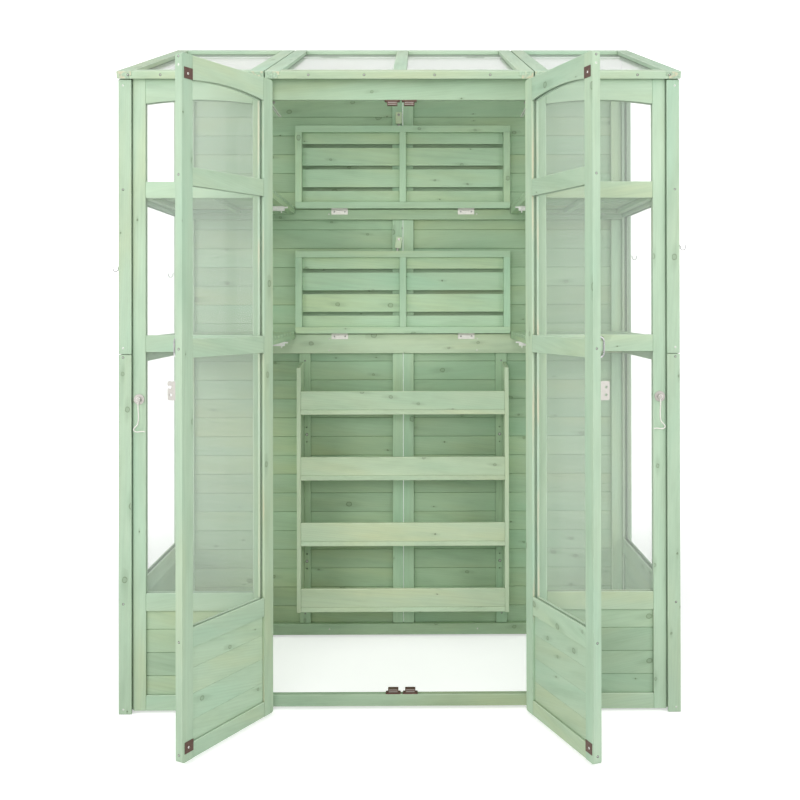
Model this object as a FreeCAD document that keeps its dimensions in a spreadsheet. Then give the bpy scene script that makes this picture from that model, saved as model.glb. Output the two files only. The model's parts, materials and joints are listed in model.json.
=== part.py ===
import FreeCAD, Part
import Sketcher
import math
import os
from FreeCAD import Placement, Rotation, Vector

# Wooden mini greenhouse, in millimetres, +Z up.
# The origin is on the ground, in the middle of the box round the whole object
# with its doors standing open at their rest angles.

doc = FreeCAD.newDocument("MiniGreenhouse")
sheet = doc.addObject("Spreadsheet::Sheet", "Sizes")

DRIVING = [
    ("overall_width", 1500.0, "outside faces of the side corner strips"),
    ("wall_depth", 666.5, "front of the corner strips to the back of the back boards"),
    ("strip_width", 34.0, "corner cover strip"),
    ("strip_thick", 8.0, "corner cover strip"),
    ("strip_joint", 958.0, "height at which the two lengths of a strip meet"),
    ("strip_joint_gap", 1.5, "open joint between the two lengths"),
    ("strip_top_gap", 2.0, "below the roof at the front"),
    ("frame_thick", 20.5, "every wall, door and roof frame"),
    ("groove_front", 6.2, "wall and door frame in front of its groove"),
    ("panel_thick", 8.0, "boards in the frames, and the groove that holds them"),
    ("roof_face_layer", 12.5, "roof frame above its glazing rebate"),
    ("rebate_width", 7.0, "depth of the groove, and overlap of the roof sheets"),
    ("pane_thick", 3.0, "clear acrylic"),
    ("board_gap", 0.3, "open joint between two boards"),
    ("pane_fit", 0.4, "play of pane and board edges in the groove"),
    ("stile_width", 34.2, "fixed front frame"),
    ("lap_width", 8.0, "recessed edge of the outer stile"),
    ("lap_depth", 9.0, "how far that edge is set back"),
    ("side_stile_width", 33.0, "side wall frame"),
    ("door_stile_width", 38.0, "door frame"),
    ("opening_half", 359.0, "half the doorway"),
    ("hinge_gap", 2.0, "door edge to fixed frame"),
    ("door_gap", 3.0, "between the closed doors"),
    ("strike_room", 1.5, "closed door to header and sill"),
    ("left_door_angle", 118.7, "degrees from closed at rest"),
    ("right_door_angle", 110.3, "degrees from closed at rest"),
    ("door_foot", 9.0, "underside of the doors"),
    ("door_top", 1688.0, "top of the doors"),
    ("door_corner", 8.0, "rounded corners of the doors"),
    ("panel_foot", 6.5, "underside of the wall frames"),
    ("panel_top", 1692.5, "top of the front frames"),
    ("bottom_rail_top", 47.5, "front, door and side frames"),
    ("lower_rail_foot", 272.0, ""),
    ("lower_rail_deep", 48.0, ""),
    ("mid_rail_foot", 964.0, ""),
    ("mid_rail_deep", 45.0, ""),
    ("upper_rail_foot", 1376.0, ""),
    ("upper_rail_deep", 44.0, ""),
    ("arch_spring", 1628.5, "where the arched top rails start"),
    ("arch_rise", 10.5, "height of the arch"),
    ("side_mid_foot", 930.0, "side wall rail under the lower shelf"),
    ("side_mid_deep", 44.0, ""),
    ("side_top_rail", 45.0, "depth of the sloping side rail"),
    ("board_pitch", 62.0, "cover width of one board"),
    ("tongue_long", 4.0, "tongue of a board"),
    ("tongue_thick", 2.6, ""),
    ("groove_play", 0.3, "groove round the tongue, each way"),
    ("joint_bevel", 1.5, "V joint on the face of the boards"),
    ("header_foot", 1643.0, "beam above the doors"),
    ("sill_foot", 8.0, "beam below the doors"),
    ("sill_top", 39.5, ""),
    ("roof_pitch", 17.9, "degrees"),
    ("roof_eaves", 1692.5, "underside of the roof at its front edge"),
    ("roof_overhang", 5.7, "that edge in front of the corner strips"),
    ("roof_length", 747.0, "along the slope"),
    ("roof_side", 2.5, "roof outside the strips, each side"),
    ("roof_bar", 40.0, "width of the roof bars"),
    ("vent_muntin", 36.0, "middle bar of the roof vent"),
    ("vent_inset", 0.5, "roof vent inside the doorway's edge, each side"),
    ("vent_gap", 3.0, "roof vent to fixed roof frame"),
    ("seat_gap", 0.3, "roof above the walls"),
    ("back_board_thick", 11.0, ""),
    ("back_batten_thick", 12.0, "uprights of the back wall"),
    ("back_batten_width", 34.0, ""),
    ("back_stile_width", 34.0, ""),
    ("back_seam", 1.0, "between the two halves of the back wall"),
    ("back_first_joint", 35.0, "height of the lowest board joint"),
    ("back_rail_foot", 7.0, ""),
    ("back_rail_low_top", 43.0, ""),
    ("back_mid_foot", 930.0, ""),
    ("back_mid_deep", 63.0, ""),
    ("back_upper_foot", 1369.0, ""),
    ("back_upper_deep", 33.3, ""),
    ("back_head_rail", 40.0, "depth of the rail under the roof"),
    ("rack_batten_width", 36.0, ""),
    ("rack_batten_inner", 305.0, ""),
    ("peg_hole", 4.5, "adjustment holes in the rack battens, diameter"),
    ("peg_pitch", 24.0, ""),
    ("peg_low", 246.5, "middle hole of the lower row"),
    ("peg_high", 663.0, "middle hole of the upper row"),
    ("stage_bar", 21.0, "width of the bars under the staging"),
    ("stage_bar_thick", 14.0, ""),
    ("slat_thick", 9.0, ""),
    ("slat_width", 58.0, ""),
    ("slat_gap", 11.0, "least gap between slats"),
    ("shelf_inner", 353.5, "inner edge of the side shelves"),
    ("shelf_play", 0.5, "shelf to wall"),
    ("flap_half", 351.0, "half the length of a folding flap"),
    ("flap_height", 270.0, ""),
    ("flap_seam", 2.3, "rail to flap"),
    ("flap_pin_drop", 3.0, "hinge pin below the flap"),
    ("flap_pin_out", 2.8, "hinge pin in front of the rail"),
    ("flap_back_out", 8.7, "back of the flap behind the pin"),
    ("rack_half", 338.5, "half the width of the pot rack"),
    ("rack_foot", 107.0, ""),
    ("rack_top", 900.0, "at the wall"),
    ("rack_front_top", 888.0, "at the front"),
    ("rack_depth", 100.0, ""),
    ("rack_board", 12.5, "thickness of the sides and lips"),
    ("tray_thick", 15.0, ""),
    ("lip_height", 59.0, ""),
    ("tray_first", 108.5, "underside of the lowest tray"),
    ("tray_pitch", 210.0, ""),
    ("knuckle_radius", 3.0, "door and vent hinges"),
    ("small_knuckle", 2.5, "flap hinges"),
    ("pin_radius", 1.2, ""),
    ("pin_play", 0.06, ""),
    ("leaf_thick", 0.9, ""),
    ("leaf_long", 60.0, "height of a door hinge"),
    ("door_hinge_low", 118.0, "foot of the lowest door hinge"),
    ("door_hinge_mid", 806.0, ""),
    ("door_hinge_high", 1512.0, ""),
    ("leaf_wide", 18.0, "from the pin to the edge of the leaf"),
    ("flap_leaf_long", 54.0, ""),
    ("flap_leaf_drop", 16.0, ""),
    ("flap_hinge_x", 207.5, "middle of a flap hinge"),
    ("door_pin_out", 3.5, "hinge pin in front of the door face"),
    ("handle_low", 958.0, ""),
    ("handle_long", 61.0, ""),
    ("handle_out", 22.0, ""),
    ("handle_rod", 5.0, "diameter"),
    ("handle_foot", 12.0, "diameter"),
    ("hasp_low", 864.0, ""),
    ("hasp_long", 45.0, ""),
    ("hasp_out", 24.0, ""),
    ("hasp_corner", 4.0, "radius"),
    ("hasp_base", 18.0, ""),
    ("hasp_thick", 1.6, ""),
    ("strike_wide", 30.0, ""),
    ("strike_tall", 27.0, ""),
    ("strike_thick", 1.2, ""),
    ("strike_inset", 8.0, "from the free edge of the door"),
    ("strike_high", 1628.0, "foot of the upper strike plate"),
    ("strike_low", 29.0, "foot of the lower strike plate"),
    ("catch_plate_long", 40.0, "plate of one catch"),
    ("catch_plate", 4.0, "thickness"),
    ("catch_tall", 14.0, ""),
    ("catch_box", 28.0, "length of one magnet box"),
    ("catch_pitch", 46.0, ""),
    ("catch_x", 3.0, "middle of the catches, right of the middle"),
    ("catch_deep", 17.0, ""),
    ("catch_back", 0.8, "catch behind the front of its beam"),
    ("hook_x", 697.0, ""),
    ("hook_z", 838.0, ""),
    ("hook_plate_radius", 14.0, ""),
    ("hook_plate_thick", 2.0, ""),
    ("hook_wire", 3.2, "diameter"),
    ("hook_stud", 3.0, "radius of the stud in the ring"),
    ("hook_long", 62.0, "straight shank"),
    ("hook_out", 9.0, "ring in front of the plate"),
    ("bolt_y", 371.0, "behind the front of the strips"),
    ("bolt_long", 38.0, ""),
    ("bolt_wide", 24.0, ""),
    ("bolt_tall", 13.0, ""),
    ("bolt_drop", 3.0, "rod centre below the shelf"),
    ("bolt_rod", 5.0, "diameter"),
    ("bolt_play", 0.05, ""),
    ("bolt_tip", 10.0, "rod out of the barrel at rest"),
    ("bolt_knob", 3.6, "diameter"),
    ("bolt_travel", 9.0, "drawn back"),
    ("bolt_reach", 345.0, "rod tip from the middle at rest"),
    ("button_wide", 20.0, ""),
    ("button_long", 38.0, ""),
    ("button_thick", 12.0, ""),
    ("button_tilt", 8.0, "degrees, the lower button at rest"),
    ("button_reach", 38.0, "pivot above the flap"),
    ("button_x", 13.0, "pivot left of the middle"),
    ("button_screw", 2.0, "radius"),
    ("button_pivot_in", 9.0, "pivot below the end of the button"),
    ("button_tip", 3.5, "radius of the sprung tip"),
    ("button_clear", 0.4, "tip above the flap"),
    ("cup_hook_out", 23.0, "cup hook beyond the strip"),
    ("cup_hook_wire", 2.8, "diameter"),
    ("cup_hook_left", 1193.0, "height of the left hooks"),
    ("cup_hook_right", 1249.0, "height of the right hooks"),
    ("cup_hook_front", 25.0, "front hooks from the front"),
    ("cup_hook_rear", 650.0, "rear hooks from the front"),
    ("stay_x", 352.0, ""),
    ("stay_y", 62.0, "pivot of a vent stay from the front"),
    ("stay_z", 1640.0, ""),
    ("stay_long", 190.0, ""),
    ("stay_wide", 9.0, ""),
    ("stay_thick", 1.6, ""),
    ("stay_eye", 3.2, "radius of the rolled eye"),
    ("vent_hinge_x", 240.0, "middle of a vent hinge"),
]

for row, (alias, number, note) in enumerate(DRIVING, start=1):
    sheet.set("A%d" % row, alias)
    sheet.set("B%d" % row, str(number))
    sheet.set("C%d" % row, note)
    sheet.setAlias("B%d" % row, alias)
doc.recompute()


class Size:
    """A length or angle that knows its expression and its present value."""

    def __init__(self, text, value):
        self.text = text
        self.value = float(value)

    def joined(self, sign, other, value):
        return Size("(%s %s %s)" % (self.text, sign, other.text), value)

    def __add__(self, other):
        other = size(other)
        return self.joined("+", other, self.value + other.value)

    def __sub__(self, other):
        other = size(other)
        return self.joined("-", other, self.value - other.value)

    def __mul__(self, other):
        other = size(other)
        return self.joined("*", other, self.value * other.value)

    def __truediv__(self, other):
        other = size(other)
        return self.joined("/", other, self.value / other.value)

    def __radd__(self, other):
        return size(other) + self

    def __rsub__(self, other):
        return size(other) - self

    def __rmul__(self, other):
        return size(other) * self

    def __neg__(self):
        return Size("(0 - %s)" % self.text, -self.value)


def size(number):
    if isinstance(number, Size):
        return number
    return Size(repr(float(number)), number)


def sine(angle):
    return Size("sin(%s)" % angle.text, math.sin(math.radians(angle.value)))


def cosine(angle):
    return Size("cos(%s)" % angle.text, math.cos(math.radians(angle.value)))


class Named:
    """The driving sizes by name."""


s = Named()
for alias, number, note in DRIVING:
    setattr(s, alias, Size("Sizes.%s" % alias, number))


# Heights, depths and widths that follow from the driving sizes

vent_half = s.opening_half - s.vent_inset
door_reach_u = s.opening_half - s.hinge_gap / 2 - s.door_gap / 2
door_reach_v = s.door_pin_out + s.frame_thick
door_front_y = s.strip_thick - s.strike_room
door_pin_y = door_front_y - s.door_pin_out
doors_forward = (
    door_reach_u * sine(s.right_door_angle)
    - door_reach_v * cosine(s.right_door_angle)
    - door_pin_y
)
roof_rise = s.roof_length * sine(s.roof_pitch)
roof_back = s.roof_length * cosine(s.roof_pitch) - s.roof_overhang
front = (doors_forward - roof_back) / 2

half_width = s.overall_width / 2
side_outer = half_width - s.strip_thick
side_inner = side_outer - s.frame_thick
panel_y = front + s.strip_thick
panel_back_y = panel_y + s.frame_thick
wall_back_y = front + s.wall_depth
back_face_y = wall_back_y - s.back_board_thick
batten_y = back_face_y - s.back_batten_thick
rail_y = back_face_y - s.frame_thick
eaves_y = front - s.roof_overhang
slope = sine(s.roof_pitch) / cosine(s.roof_pitch)
groove_back = s.groove_front + s.panel_thick
stage_thick = s.stage_bar_thick + s.slat_thick
pin_x = s.opening_half - s.hinge_gap / 2
lower_rail_top = s.lower_rail_foot + s.lower_rail_deep
mid_rail_top = s.mid_rail_foot + s.mid_rail_deep
upper_rail_top = s.upper_rail_foot + s.upper_rail_deep
side_mid_top = s.side_mid_foot + s.side_mid_deep
back_mid_top = s.back_mid_foot + s.back_mid_deep
back_upper_top = s.back_upper_foot + s.back_upper_deep
handle_high = s.handle_low + s.handle_long
hasp_high = s.hasp_low + s.hasp_long


def under_roof(y):
    """Height of the wall tops at the depth y."""
    return s.roof_eaves + slope * (y - eaves_y) - s.seat_gap / cosine(s.roof_pitch)


PLANES = {"xy": "XY_Plane", "xz": "XZ_Plane", "yz": "YZ_Plane"}
counter = {"made": 0}
nodes = {}
ANGLE = ".Placement.Rotation.Angle"


def fresh(name):
    counter["made"] += 1
    return "%s_%03d" % (name, counter["made"])


def put(thing, x=0, y=0, z=0):
    """Ties the place of an object to sizes."""
    for axis, value in (("x", x), ("y", y), ("z", z)):
        value = size(value)
        setattr(thing.Placement.Base, axis, value.value)
        thing.setExpression(".Placement.Base." + axis, value.text)
    return thing


def turn(thing, axis, angle):
    """Turns an object about an axis through its own origin by a bound angle."""
    angle = size(angle)
    thing.Placement = Placement(thing.Placement.Base, Rotation(Vector(*axis), angle.value or 1.0))
    thing.setExpression(ANGLE, angle.text)
    return thing


def bind(thing, **sizes):
    for name, value in sizes.items():
        thing.setExpression(name, size(value).text)
    return thing


def sketch_on(body, plane, offset=None):
    sketch = body.newObject("Sketcher::SketchObject", fresh("Sketch"))
    role = PLANES[plane]
    support = [f for f in body.Origin.OriginFeatures if f.Role == role][0]
    sketch.AttachmentSupport = [(support, "")]
    sketch.MapMode = "FlatFace"
    if offset is not None:
        sketch.AttachmentOffset = Placement(Vector(0, 0, offset.value), Rotation())
        sketch.setExpression(".AttachmentOffset.Base.z", offset.text)
    return sketch


def pin_point(sketch, edge, end, point):
    """Fixes one end of an edge at a point given in sizes."""
    for kind, value in zip(("DistanceX", "DistanceY"), point):
        value = size(value)
        index = sketch.addConstraint(Sketcher.Constraint(kind, -1, 1, edge, end, value.value))
        sketch.setExpression("Constraints[%d]" % index, value.text)


def outline(sketch, corners, arcs=None):
    """Closed outline through corners, anticlockwise.

    arcs gives the height of an edge's bow, inwards where it is positive.
    """
    arcs = arcs or {}
    spots = [Vector(size(x).value, size(y).value, 0) for x, y in corners]
    count = len(spots)
    first = [sketch.GeometryCount] * count
    starts = [1] * count
    for i, spot in enumerate(spots):
        after = spots[(i + 1) % count]
        if i in arcs:
            along = (after - spot).normalize()
            crown = (spot + after) / 2 + Vector(-along.y, along.x, 0) * arcs[i].value
            index = sketch.addGeometry(Part.Arc(spot, crown, after), False)
            starts[i] = 2 if arcs[i].value > 0 else 1
        else:
            index = sketch.addGeometry(Part.LineSegment(spot, after), False)
        first[i] = index
    for i in range(count):
        after = (i + 1) % count
        end = 3 - starts[i]
        sketch.addConstraint(Sketcher.Constraint("Coincident", first[i], end, first[after], starts[after]))
    for i, corner in enumerate(corners):
        pin_point(sketch, first[i], starts[i], corner)
    for i, height in arcs.items():
        across = size(corners[(i + 1) % count][0]) - corners[i][0]
        up = size(corners[(i + 1) % count][1]) - corners[i][1]
        half_squared = (across * across + up * up) / 4
        bow = -height if height.value < 0 else height
        radius = (half_squared + bow * bow) / (2 * bow)
        index = sketch.addConstraint(Sketcher.Constraint("Radius", first[i], radius.value))
        sketch.setExpression("Constraints[%d]" % index, radius.text)
    return sketch


def rectangle(x0, y0, x1, y1):
    return [(x0, y0), (x1, y0), (x1, y1), (x0, y1)]


def rounded(x0, y0, x1, y1, radius, left, right):
    """Rectangle whose corners on the named sides are rounded, with its bows."""
    bow = -radius * (1 - 1 / math.sqrt(2))
    corners = []
    arcs = {}
    for x, y, dx, dy, soft in (
        (x0, y0, 1, 1, left),
        (x1, y0, -1, 1, right),
        (x1, y1, -1, -1, right),
        (x0, y1, 1, -1, left),
    ):
        if not soft:
            corners.append((x, y))
            continue
        beside = (size(x) + radius * dx, y)
        above = (x, size(y) + radius * dy)
        arcs[len(corners)] = bow
        corners += [above, beside] if dx == dy else [beside, above]
    return corners, arcs


def disc(sketch, x, y, radius):
    x, y, radius = size(x), size(y), size(radius)
    edge = sketch.addGeometry(Part.Circle(Vector(x.value, y.value, 0), Vector(0, 0, 1), radius.value), False)
    pin_point(sketch, edge, 3, (x, y))
    index = sketch.addConstraint(Sketcher.Constraint("Radius", edge, radius.value))
    sketch.setExpression("Constraints[%d]" % index, radius.text)


def pad(body, sketch, length, reverse=False):
    feature = body.newObject("PartDesign::Pad", fresh("Pad"))
    feature.Profile = sketch
    feature.Reversed = reverse
    feature.setExpression("Length", size(length).text)
    return feature


def new_body(name):
    return doc.addObject("PartDesign::Body", fresh(name))


def prism(name, plane, corners, length, start=None, reverse=False, arcs=None):
    """An outline drawn on an origin plane and padded."""
    body = new_body(name)
    pad(body, outline(sketch_on(body, plane, start), corners, arcs), length, reverse)
    return body


def bar(name, x0, x1, y0, y1, z0, z1):
    """A plain bar between two corners."""
    x0, y0, z0 = size(x0), size(y0), size(z0)
    box = doc.addObject("Part::Box", fresh(name))
    bind(box, Length=size(x1) - x0, Width=size(y1) - y0, Height=size(z1) - z0)
    return put(box, x0, y0, z0)


def group(label, members):
    """One node: a piece, or several separate pieces kept together."""
    node = doc.addObject("Part::Compound", label)
    node.Links = members
    node.Label = label
    nodes[label] = node
    return node


def mirrored(label, source):
    """The same node on the other side of the middle."""
    node = doc.addObject("Part::Mirroring", label)
    node.Source = source
    node.Normal = (1, 0, 0)
    node.Label = label
    nodes[label] = node
    return node


# Frame members are drawn with x across, z up and the face at y = 0, looking along +y.
# Stiles have a groove round the glass and boards, and rails have tongues that fill it.

def layered(name, layers):
    """Outlines padded one behind the other, each with its depths and bows."""
    body = new_body(name)
    for corners, arcs, y0, y1 in layers:
        start = None if y0 is None else -y0
        thick = y1 if y0 is None else y1 - y0
        pad(body, outline(sketch_on(body, "xz", start), corners, arcs), thick, True)
    return body


def member(name, face, core, face_arcs=None, core_arcs=None):
    layers = [
        (face, face_arcs, None, s.groove_front),
        (core, core_arcs, s.groove_front, groove_back),
        (face, face_arcs, groove_back, s.frame_thick),
    ]
    return layered(name, layers)


def stile(name, x0, x1, z0, z1, cut_left, cut_right, corner=None):
    """An upright; the groove runs along the sides that are named."""
    left = x0 + s.rebate_width if cut_left else x0
    right = x1 - s.rebate_width if cut_right else x1
    if corner is None:
        return member(name, rectangle(x0, z0, x1, z1), rectangle(left, z0, right, z1))
    face, face_arcs = rounded(x0, z0, x1, z1, corner, not cut_left, not cut_right)
    core, core_arcs = rounded(left, z0, right, z1, corner, not cut_left, not cut_right)
    return member(name, face, core, face_arcs, core_arcs)


def rail(name, x0, x1, z0, z1, cut_below, cut_above):
    """A crosspiece whose tongues fit the grooves of the uprights."""
    low = z0 + s.rebate_width if cut_below else z0
    high = z1 - s.rebate_width if cut_above else z1
    lap = s.rebate_width
    return member(name, rectangle(x0, z0, x1, z1), rectangle(x0 - lap, low, x1 + lap, high))


def arched_rail(name, x0, x1, z1):
    """Top rail with an arched lower edge and an arched groove in it."""
    lap = s.rebate_width
    face = rectangle(x0, s.arch_spring, x1, z1)
    core = rectangle(x0 - lap, s.arch_spring + lap, x1 + lap, z1)
    return member(name, face, core, {0: s.arch_rise}, {0: s.arch_rise})


def five_rails(x0, x1, foot, top):
    """Bottom, lower, middle, upper and arched top rail of a front frame."""
    return [
        rail("BottomRail", x0, x1, foot, s.bottom_rail_top, False, True),
        rail("LowerRail", x0, x1, s.lower_rail_foot, lower_rail_top, True, True),
        rail("MiddleRail", x0, x1, s.mid_rail_foot, mid_rail_top, True, True),
        rail("UpperRail", x0, x1, s.upper_rail_foot, upper_rail_top, True, True),
        arched_rail("TopRail", x0, x1, top),
    ]


def three_panes(x0, x1, y0):
    """The three lights of a front frame or a door, held in its grooves."""
    lap = s.rebate_width - s.pane_fit
    heights = [
        (lower_rail_top - lap, s.mid_rail_foot + lap),
        (mid_rail_top - lap, s.upper_rail_foot + lap),
    ]
    panes = [bar("Pane", x0 - lap, x1 + lap, y0, y0 + s.pane_thick, z0, z1) for z0, z1 in heights]
    top = rectangle(x0 - lap, upper_rail_top - lap, x1 + lap, s.arch_spring + lap)
    return panes + [prism("ArchedPane", "xz", top, s.pane_thick, -y0, True, {2: -s.arch_rise})]


def board_section(y0, y1, z0, z1, grooved, tongued):
    """Section of a tongued and grooved board with a V joint on its face."""
    middle = (y0 + y1) / 2
    bevel = s.joint_bevel
    slot = s.tongue_thick / 2 + s.groove_play
    deep = s.tongue_long + s.groove_play
    half = s.tongue_thick / 2
    top = z1 - s.board_gap if tongued else z1
    points = [(y0 + bevel, z0)] if grooved else [(y0, z0)]
    if grooved:
        points += [(middle - slot, z0), (middle - slot, z0 + deep)]
        points += [(middle + slot, z0 + deep), (middle + slot, z0)]
    points += [(y1, z0), (y1, top)]
    if tongued:
        points += [(middle + half, top), (middle + half, top + s.tongue_long)]
        points += [(middle - half, top + s.tongue_long), (middle - half, top)]
        points += [(y0 + bevel, top), (y0, top - bevel)]
    else:
        points += [(y0, top)]
    if grooved:
        points += [(y0, z0 + bevel)]
    return points


def boarding(x0, x1, y0, y1, foot, top, first_joint):
    """Boards laid edge to edge from foot to top, the outer two cut to fit."""
    count = int(math.ceil((size(top).value - size(first_joint).value) / s.board_pitch.value - 1e-6))
    joints = [first_joint + s.board_pitch * i for i in range(count)]
    edges = [foot] + joints + [top]
    made = []
    for i in range(len(edges) - 1):
        section = board_section(y0, y1, edges[i], edges[i + 1], i > 0, i < len(edges) - 2)
        made.append(put(prism("Board", "yz", section, size(x1) - x0), x0))
    return made


def panel_boards(x0, x1, foot):
    """The boards in the lower part of a wall frame or a door."""
    lap = s.rebate_width - s.pane_fit
    low = foot - lap
    high = s.lower_rail_foot + lap
    middle = (s.bottom_rail_top + s.lower_rail_foot) / 2
    return boarding(x0 - lap, x1 + lap, s.groove_front, groove_back, low, high, middle - s.board_pitch)


# Fixed front frames

def front_frame():
    window_outer = side_inner - s.stile_width - s.lap_width
    window_inner = s.opening_half + s.stile_width
    inner = stile("InnerStile", s.opening_half, window_inner, s.panel_foot, s.panel_top, False, True)
    lap_x = side_inner - s.lap_width
    lap = s.rebate_width
    outer = new_body("OuterStile")
    corners = [
        (window_outer, 0),
        (lap_x, 0),
        (lap_x, s.lap_depth),
        (side_inner, s.lap_depth),
        (side_inner, s.frame_thick),
        (window_outer, s.frame_thick),
        (window_outer, groove_back),
        (window_outer + lap, groove_back),
        (window_outer + lap, s.groove_front),
        (window_outer, s.groove_front),
    ]
    pad(outer, outline(sketch_on(outer, "xy"), corners), s.panel_top - s.panel_foot)
    put(outer, 0, 0, s.panel_foot)
    rails = five_rails(window_inner, window_outer, s.panel_foot, s.panel_top)
    frame = put(group("front_right_frame", [inner, outer] + rails), 0, panel_y, 0)
    mirrored("front_left_frame", frame)
    boards = put(
        doc.addObject("Part::Compound", "RightFrontBoards"), 0, panel_y, 0
    )
    boards.Links = panel_boards(window_inner, window_outer, s.bottom_rail_top)
    panes = put(doc.addObject("Part::Compound", "RightFrontPanes"), 0, panel_y, 0)
    panes.Links = three_panes(window_inner, window_outer, s.groove_front)
    return boards, panes


# Side walls, drawn like a front frame and turned to face outwards

def side_frame():
    x0 = s.strip_thick
    x1 = s.wall_depth
    inner0 = x0 + s.side_stile_width
    inner1 = x1 - s.side_stile_width
    lap = s.rebate_width
    drop = s.side_top_rail

    def top(x):
        return under_roof(front + x)

    def upright(name, a, b, cut_left, cut_right):
        left = a + lap if cut_left else a
        right = b - lap if cut_right else b
        face = [(a, s.panel_foot), (b, s.panel_foot), (b, top(b)), (a, top(a))]
        core = [(left, s.panel_foot), (right, s.panel_foot), (right, top(right)), (left, top(left))]
        return member(name, face, core)

    sloping = member(
        "SlopingRail",
        [(inner0, top(inner0) - drop), (inner1, top(inner1) - drop), (inner1, top(inner1)), (inner0, top(inner0))],
        [
            (inner0 - lap, top(inner0 - lap) - drop + lap),
            (inner1 + lap, top(inner1 + lap) - drop + lap),
            (inner1 + lap, top(inner1 + lap)),
            (inner0 - lap, top(inner0 - lap)),
        ],
    )
    pieces = [
        upright("FrontStile", x0, inner0, False, True),
        upright("RearStile", inner1, x1, True, False),
        rail("BottomRail", inner0, inner1, s.panel_foot, s.bottom_rail_top, False, True),
        rail("SillRail", inner0, inner1, s.lower_rail_foot, lower_rail_top, True, True),
        rail("MiddleRail", inner0, inner1, s.side_mid_foot, side_mid_top, True, True),
        rail("UpperRail", inner0, inner1, s.upper_rail_foot, upper_rail_top, True, True),
        sloping,
    ]
    frame = group("side_right_frame", pieces)
    play = lap - s.pane_fit
    y0 = s.groove_front
    y1 = y0 + s.pane_thick
    left = inner0 - play
    right = inner1 + play
    panes = [
        bar("Pane", left, right, y0, y1, lower_rail_top - play, s.side_mid_foot + play),
        bar("Pane", left, right, y0, y1, side_mid_top - play, s.upper_rail_foot + play),
        prism(
            "SlopingPane",
            "xz",
            [
                (left, upper_rail_top - play),
                (right, upper_rail_top - play),
                (right, top(right) - drop + play),
                (left, top(left) - drop + play),
            ],
            s.pane_thick,
            -y0,
            True,
        ),
    ]
    glazing = doc.addObject("Part::Compound", "RightSidePanes")
    glazing.Links = panes
    boards = doc.addObject("Part::Compound", "RightSideBoards")
    boards.Links = panel_boards(inner0, inner1, s.bottom_rail_top)
    for thing in (frame, glazing, boards):
        turn(put(thing, side_outer, front, 0), (0, 0, 1), 90)
    mirrored("side_left_frame", frame)
    return boards, glazing


def shared_node(label, right_parts):
    """Right-hand pieces with their mirror images, in one node."""
    left_parts = []
    for part in right_parts:
        twin = doc.addObject("Part::Mirroring", fresh("Mirror"))
        twin.Source = part
        twin.Normal = (1, 0, 0)
        left_parts.append(twin)
    return group(label, right_parts + left_parts)


front_boards, front_panes = front_frame()
side_boards, side_panes = side_frame()
shared_node("panel_boards", [front_boards, side_boards])
shared_node("wall_glazing", [front_panes, side_panes])


# Corner strips, each in two lengths

def corner_strips():
    made = []
    low_top = s.strip_joint - s.strip_joint_gap / 2
    high_foot = s.strip_joint + s.strip_joint_gap / 2
    x0 = half_width - s.strip_width

    def face_strip(y0, top):
        y1 = y0 + s.strip_thick
        return [
            bar("Strip", x0, half_width, y0, y1, 0, low_top),
            bar("Strip", x0, half_width, y0, y1, high_foot, top),
        ]

    def edge_strip(y0):
        y1 = y0 + s.strip_width
        corners = [
            (y0, high_foot),
            (y1, high_foot),
            (y1, under_roof(y1) - s.strip_top_gap),
            (y0, under_roof(y0) - s.strip_top_gap),
        ]
        return [
            bar("Strip", side_outer, half_width, y0, y1, 0, low_top),
            put(prism("Strip", "yz", corners, s.strip_thick), side_outer),
        ]

    made += face_strip(front, under_roof(front) - s.strip_top_gap)
    made += edge_strip(front + s.strip_thick)
    made += edge_strip(wall_back_y - s.strip_width)
    made += face_strip(wall_back_y, under_roof(wall_back_y) - s.strip_top_gap)
    return made


shared_node("corner_strips", corner_strips())


# Beams above and below the doors

def beams():
    reach = s.opening_half + s.stile_width
    y0 = panel_back_y
    y1 = y0 + s.frame_thick
    section = [(y0, s.header_foot), (y1, s.header_foot), (y1, under_roof(y1)), (y0, under_roof(y0))]
    header = put(prism("Header", "yz", section, reach * 2), -reach)
    group("door_header", [header])
    group("door_sill", [bar("Sill", -reach, reach, y0, y1, s.sill_foot, s.sill_top)])


beams()


# Back wall: two boarded halves, uprights, and rails across both

def back_wall():
    seam = s.back_seam / 2
    levels = [
        (s.back_rail_foot, s.back_rail_low_top),
        (s.back_mid_foot, back_mid_top),
        (s.back_upper_foot, back_upper_top),
    ]
    rails = [bar("BackRail", -side_inner, side_inner, rail_y, back_face_y, z0, z1) for z0, z1 in levels]
    head_foot = under_roof(rail_y) - s.back_head_rail
    section = [
        (rail_y, head_foot),
        (back_face_y, head_foot),
        (back_face_y, under_roof(back_face_y)),
        (rail_y, under_roof(rail_y)),
    ]
    rails.append(put(prism("HeadRail", "yz", section, side_inner * 2), -side_inner))
    group("back_rails", rails)

    spans = [
        (s.back_rail_low_top, s.back_mid_foot),
        (back_mid_top, s.back_upper_foot),
        (back_upper_top, head_foot),
    ]
    places = [
        (seam, seam + s.back_batten_width),
        (side_inner - s.back_stile_width, side_inner),
    ]
    uprights = []
    for x0, x1 in places:
        for z0, z1 in spans:
            uprights.append(bar("Upright", x0, x1, batten_y, back_face_y, z0, z1))
    shared_node("back_uprights", uprights)

    top = under_roof(back_face_y)
    boards = boarding(seam, side_inner, back_face_y, wall_back_y, s.back_rail_foot, top, s.back_first_joint)
    shared_node("back_boards", boards)


back_wall()


# Uprights that the pot rack is screwed to, with rows of adjustment holes

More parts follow.
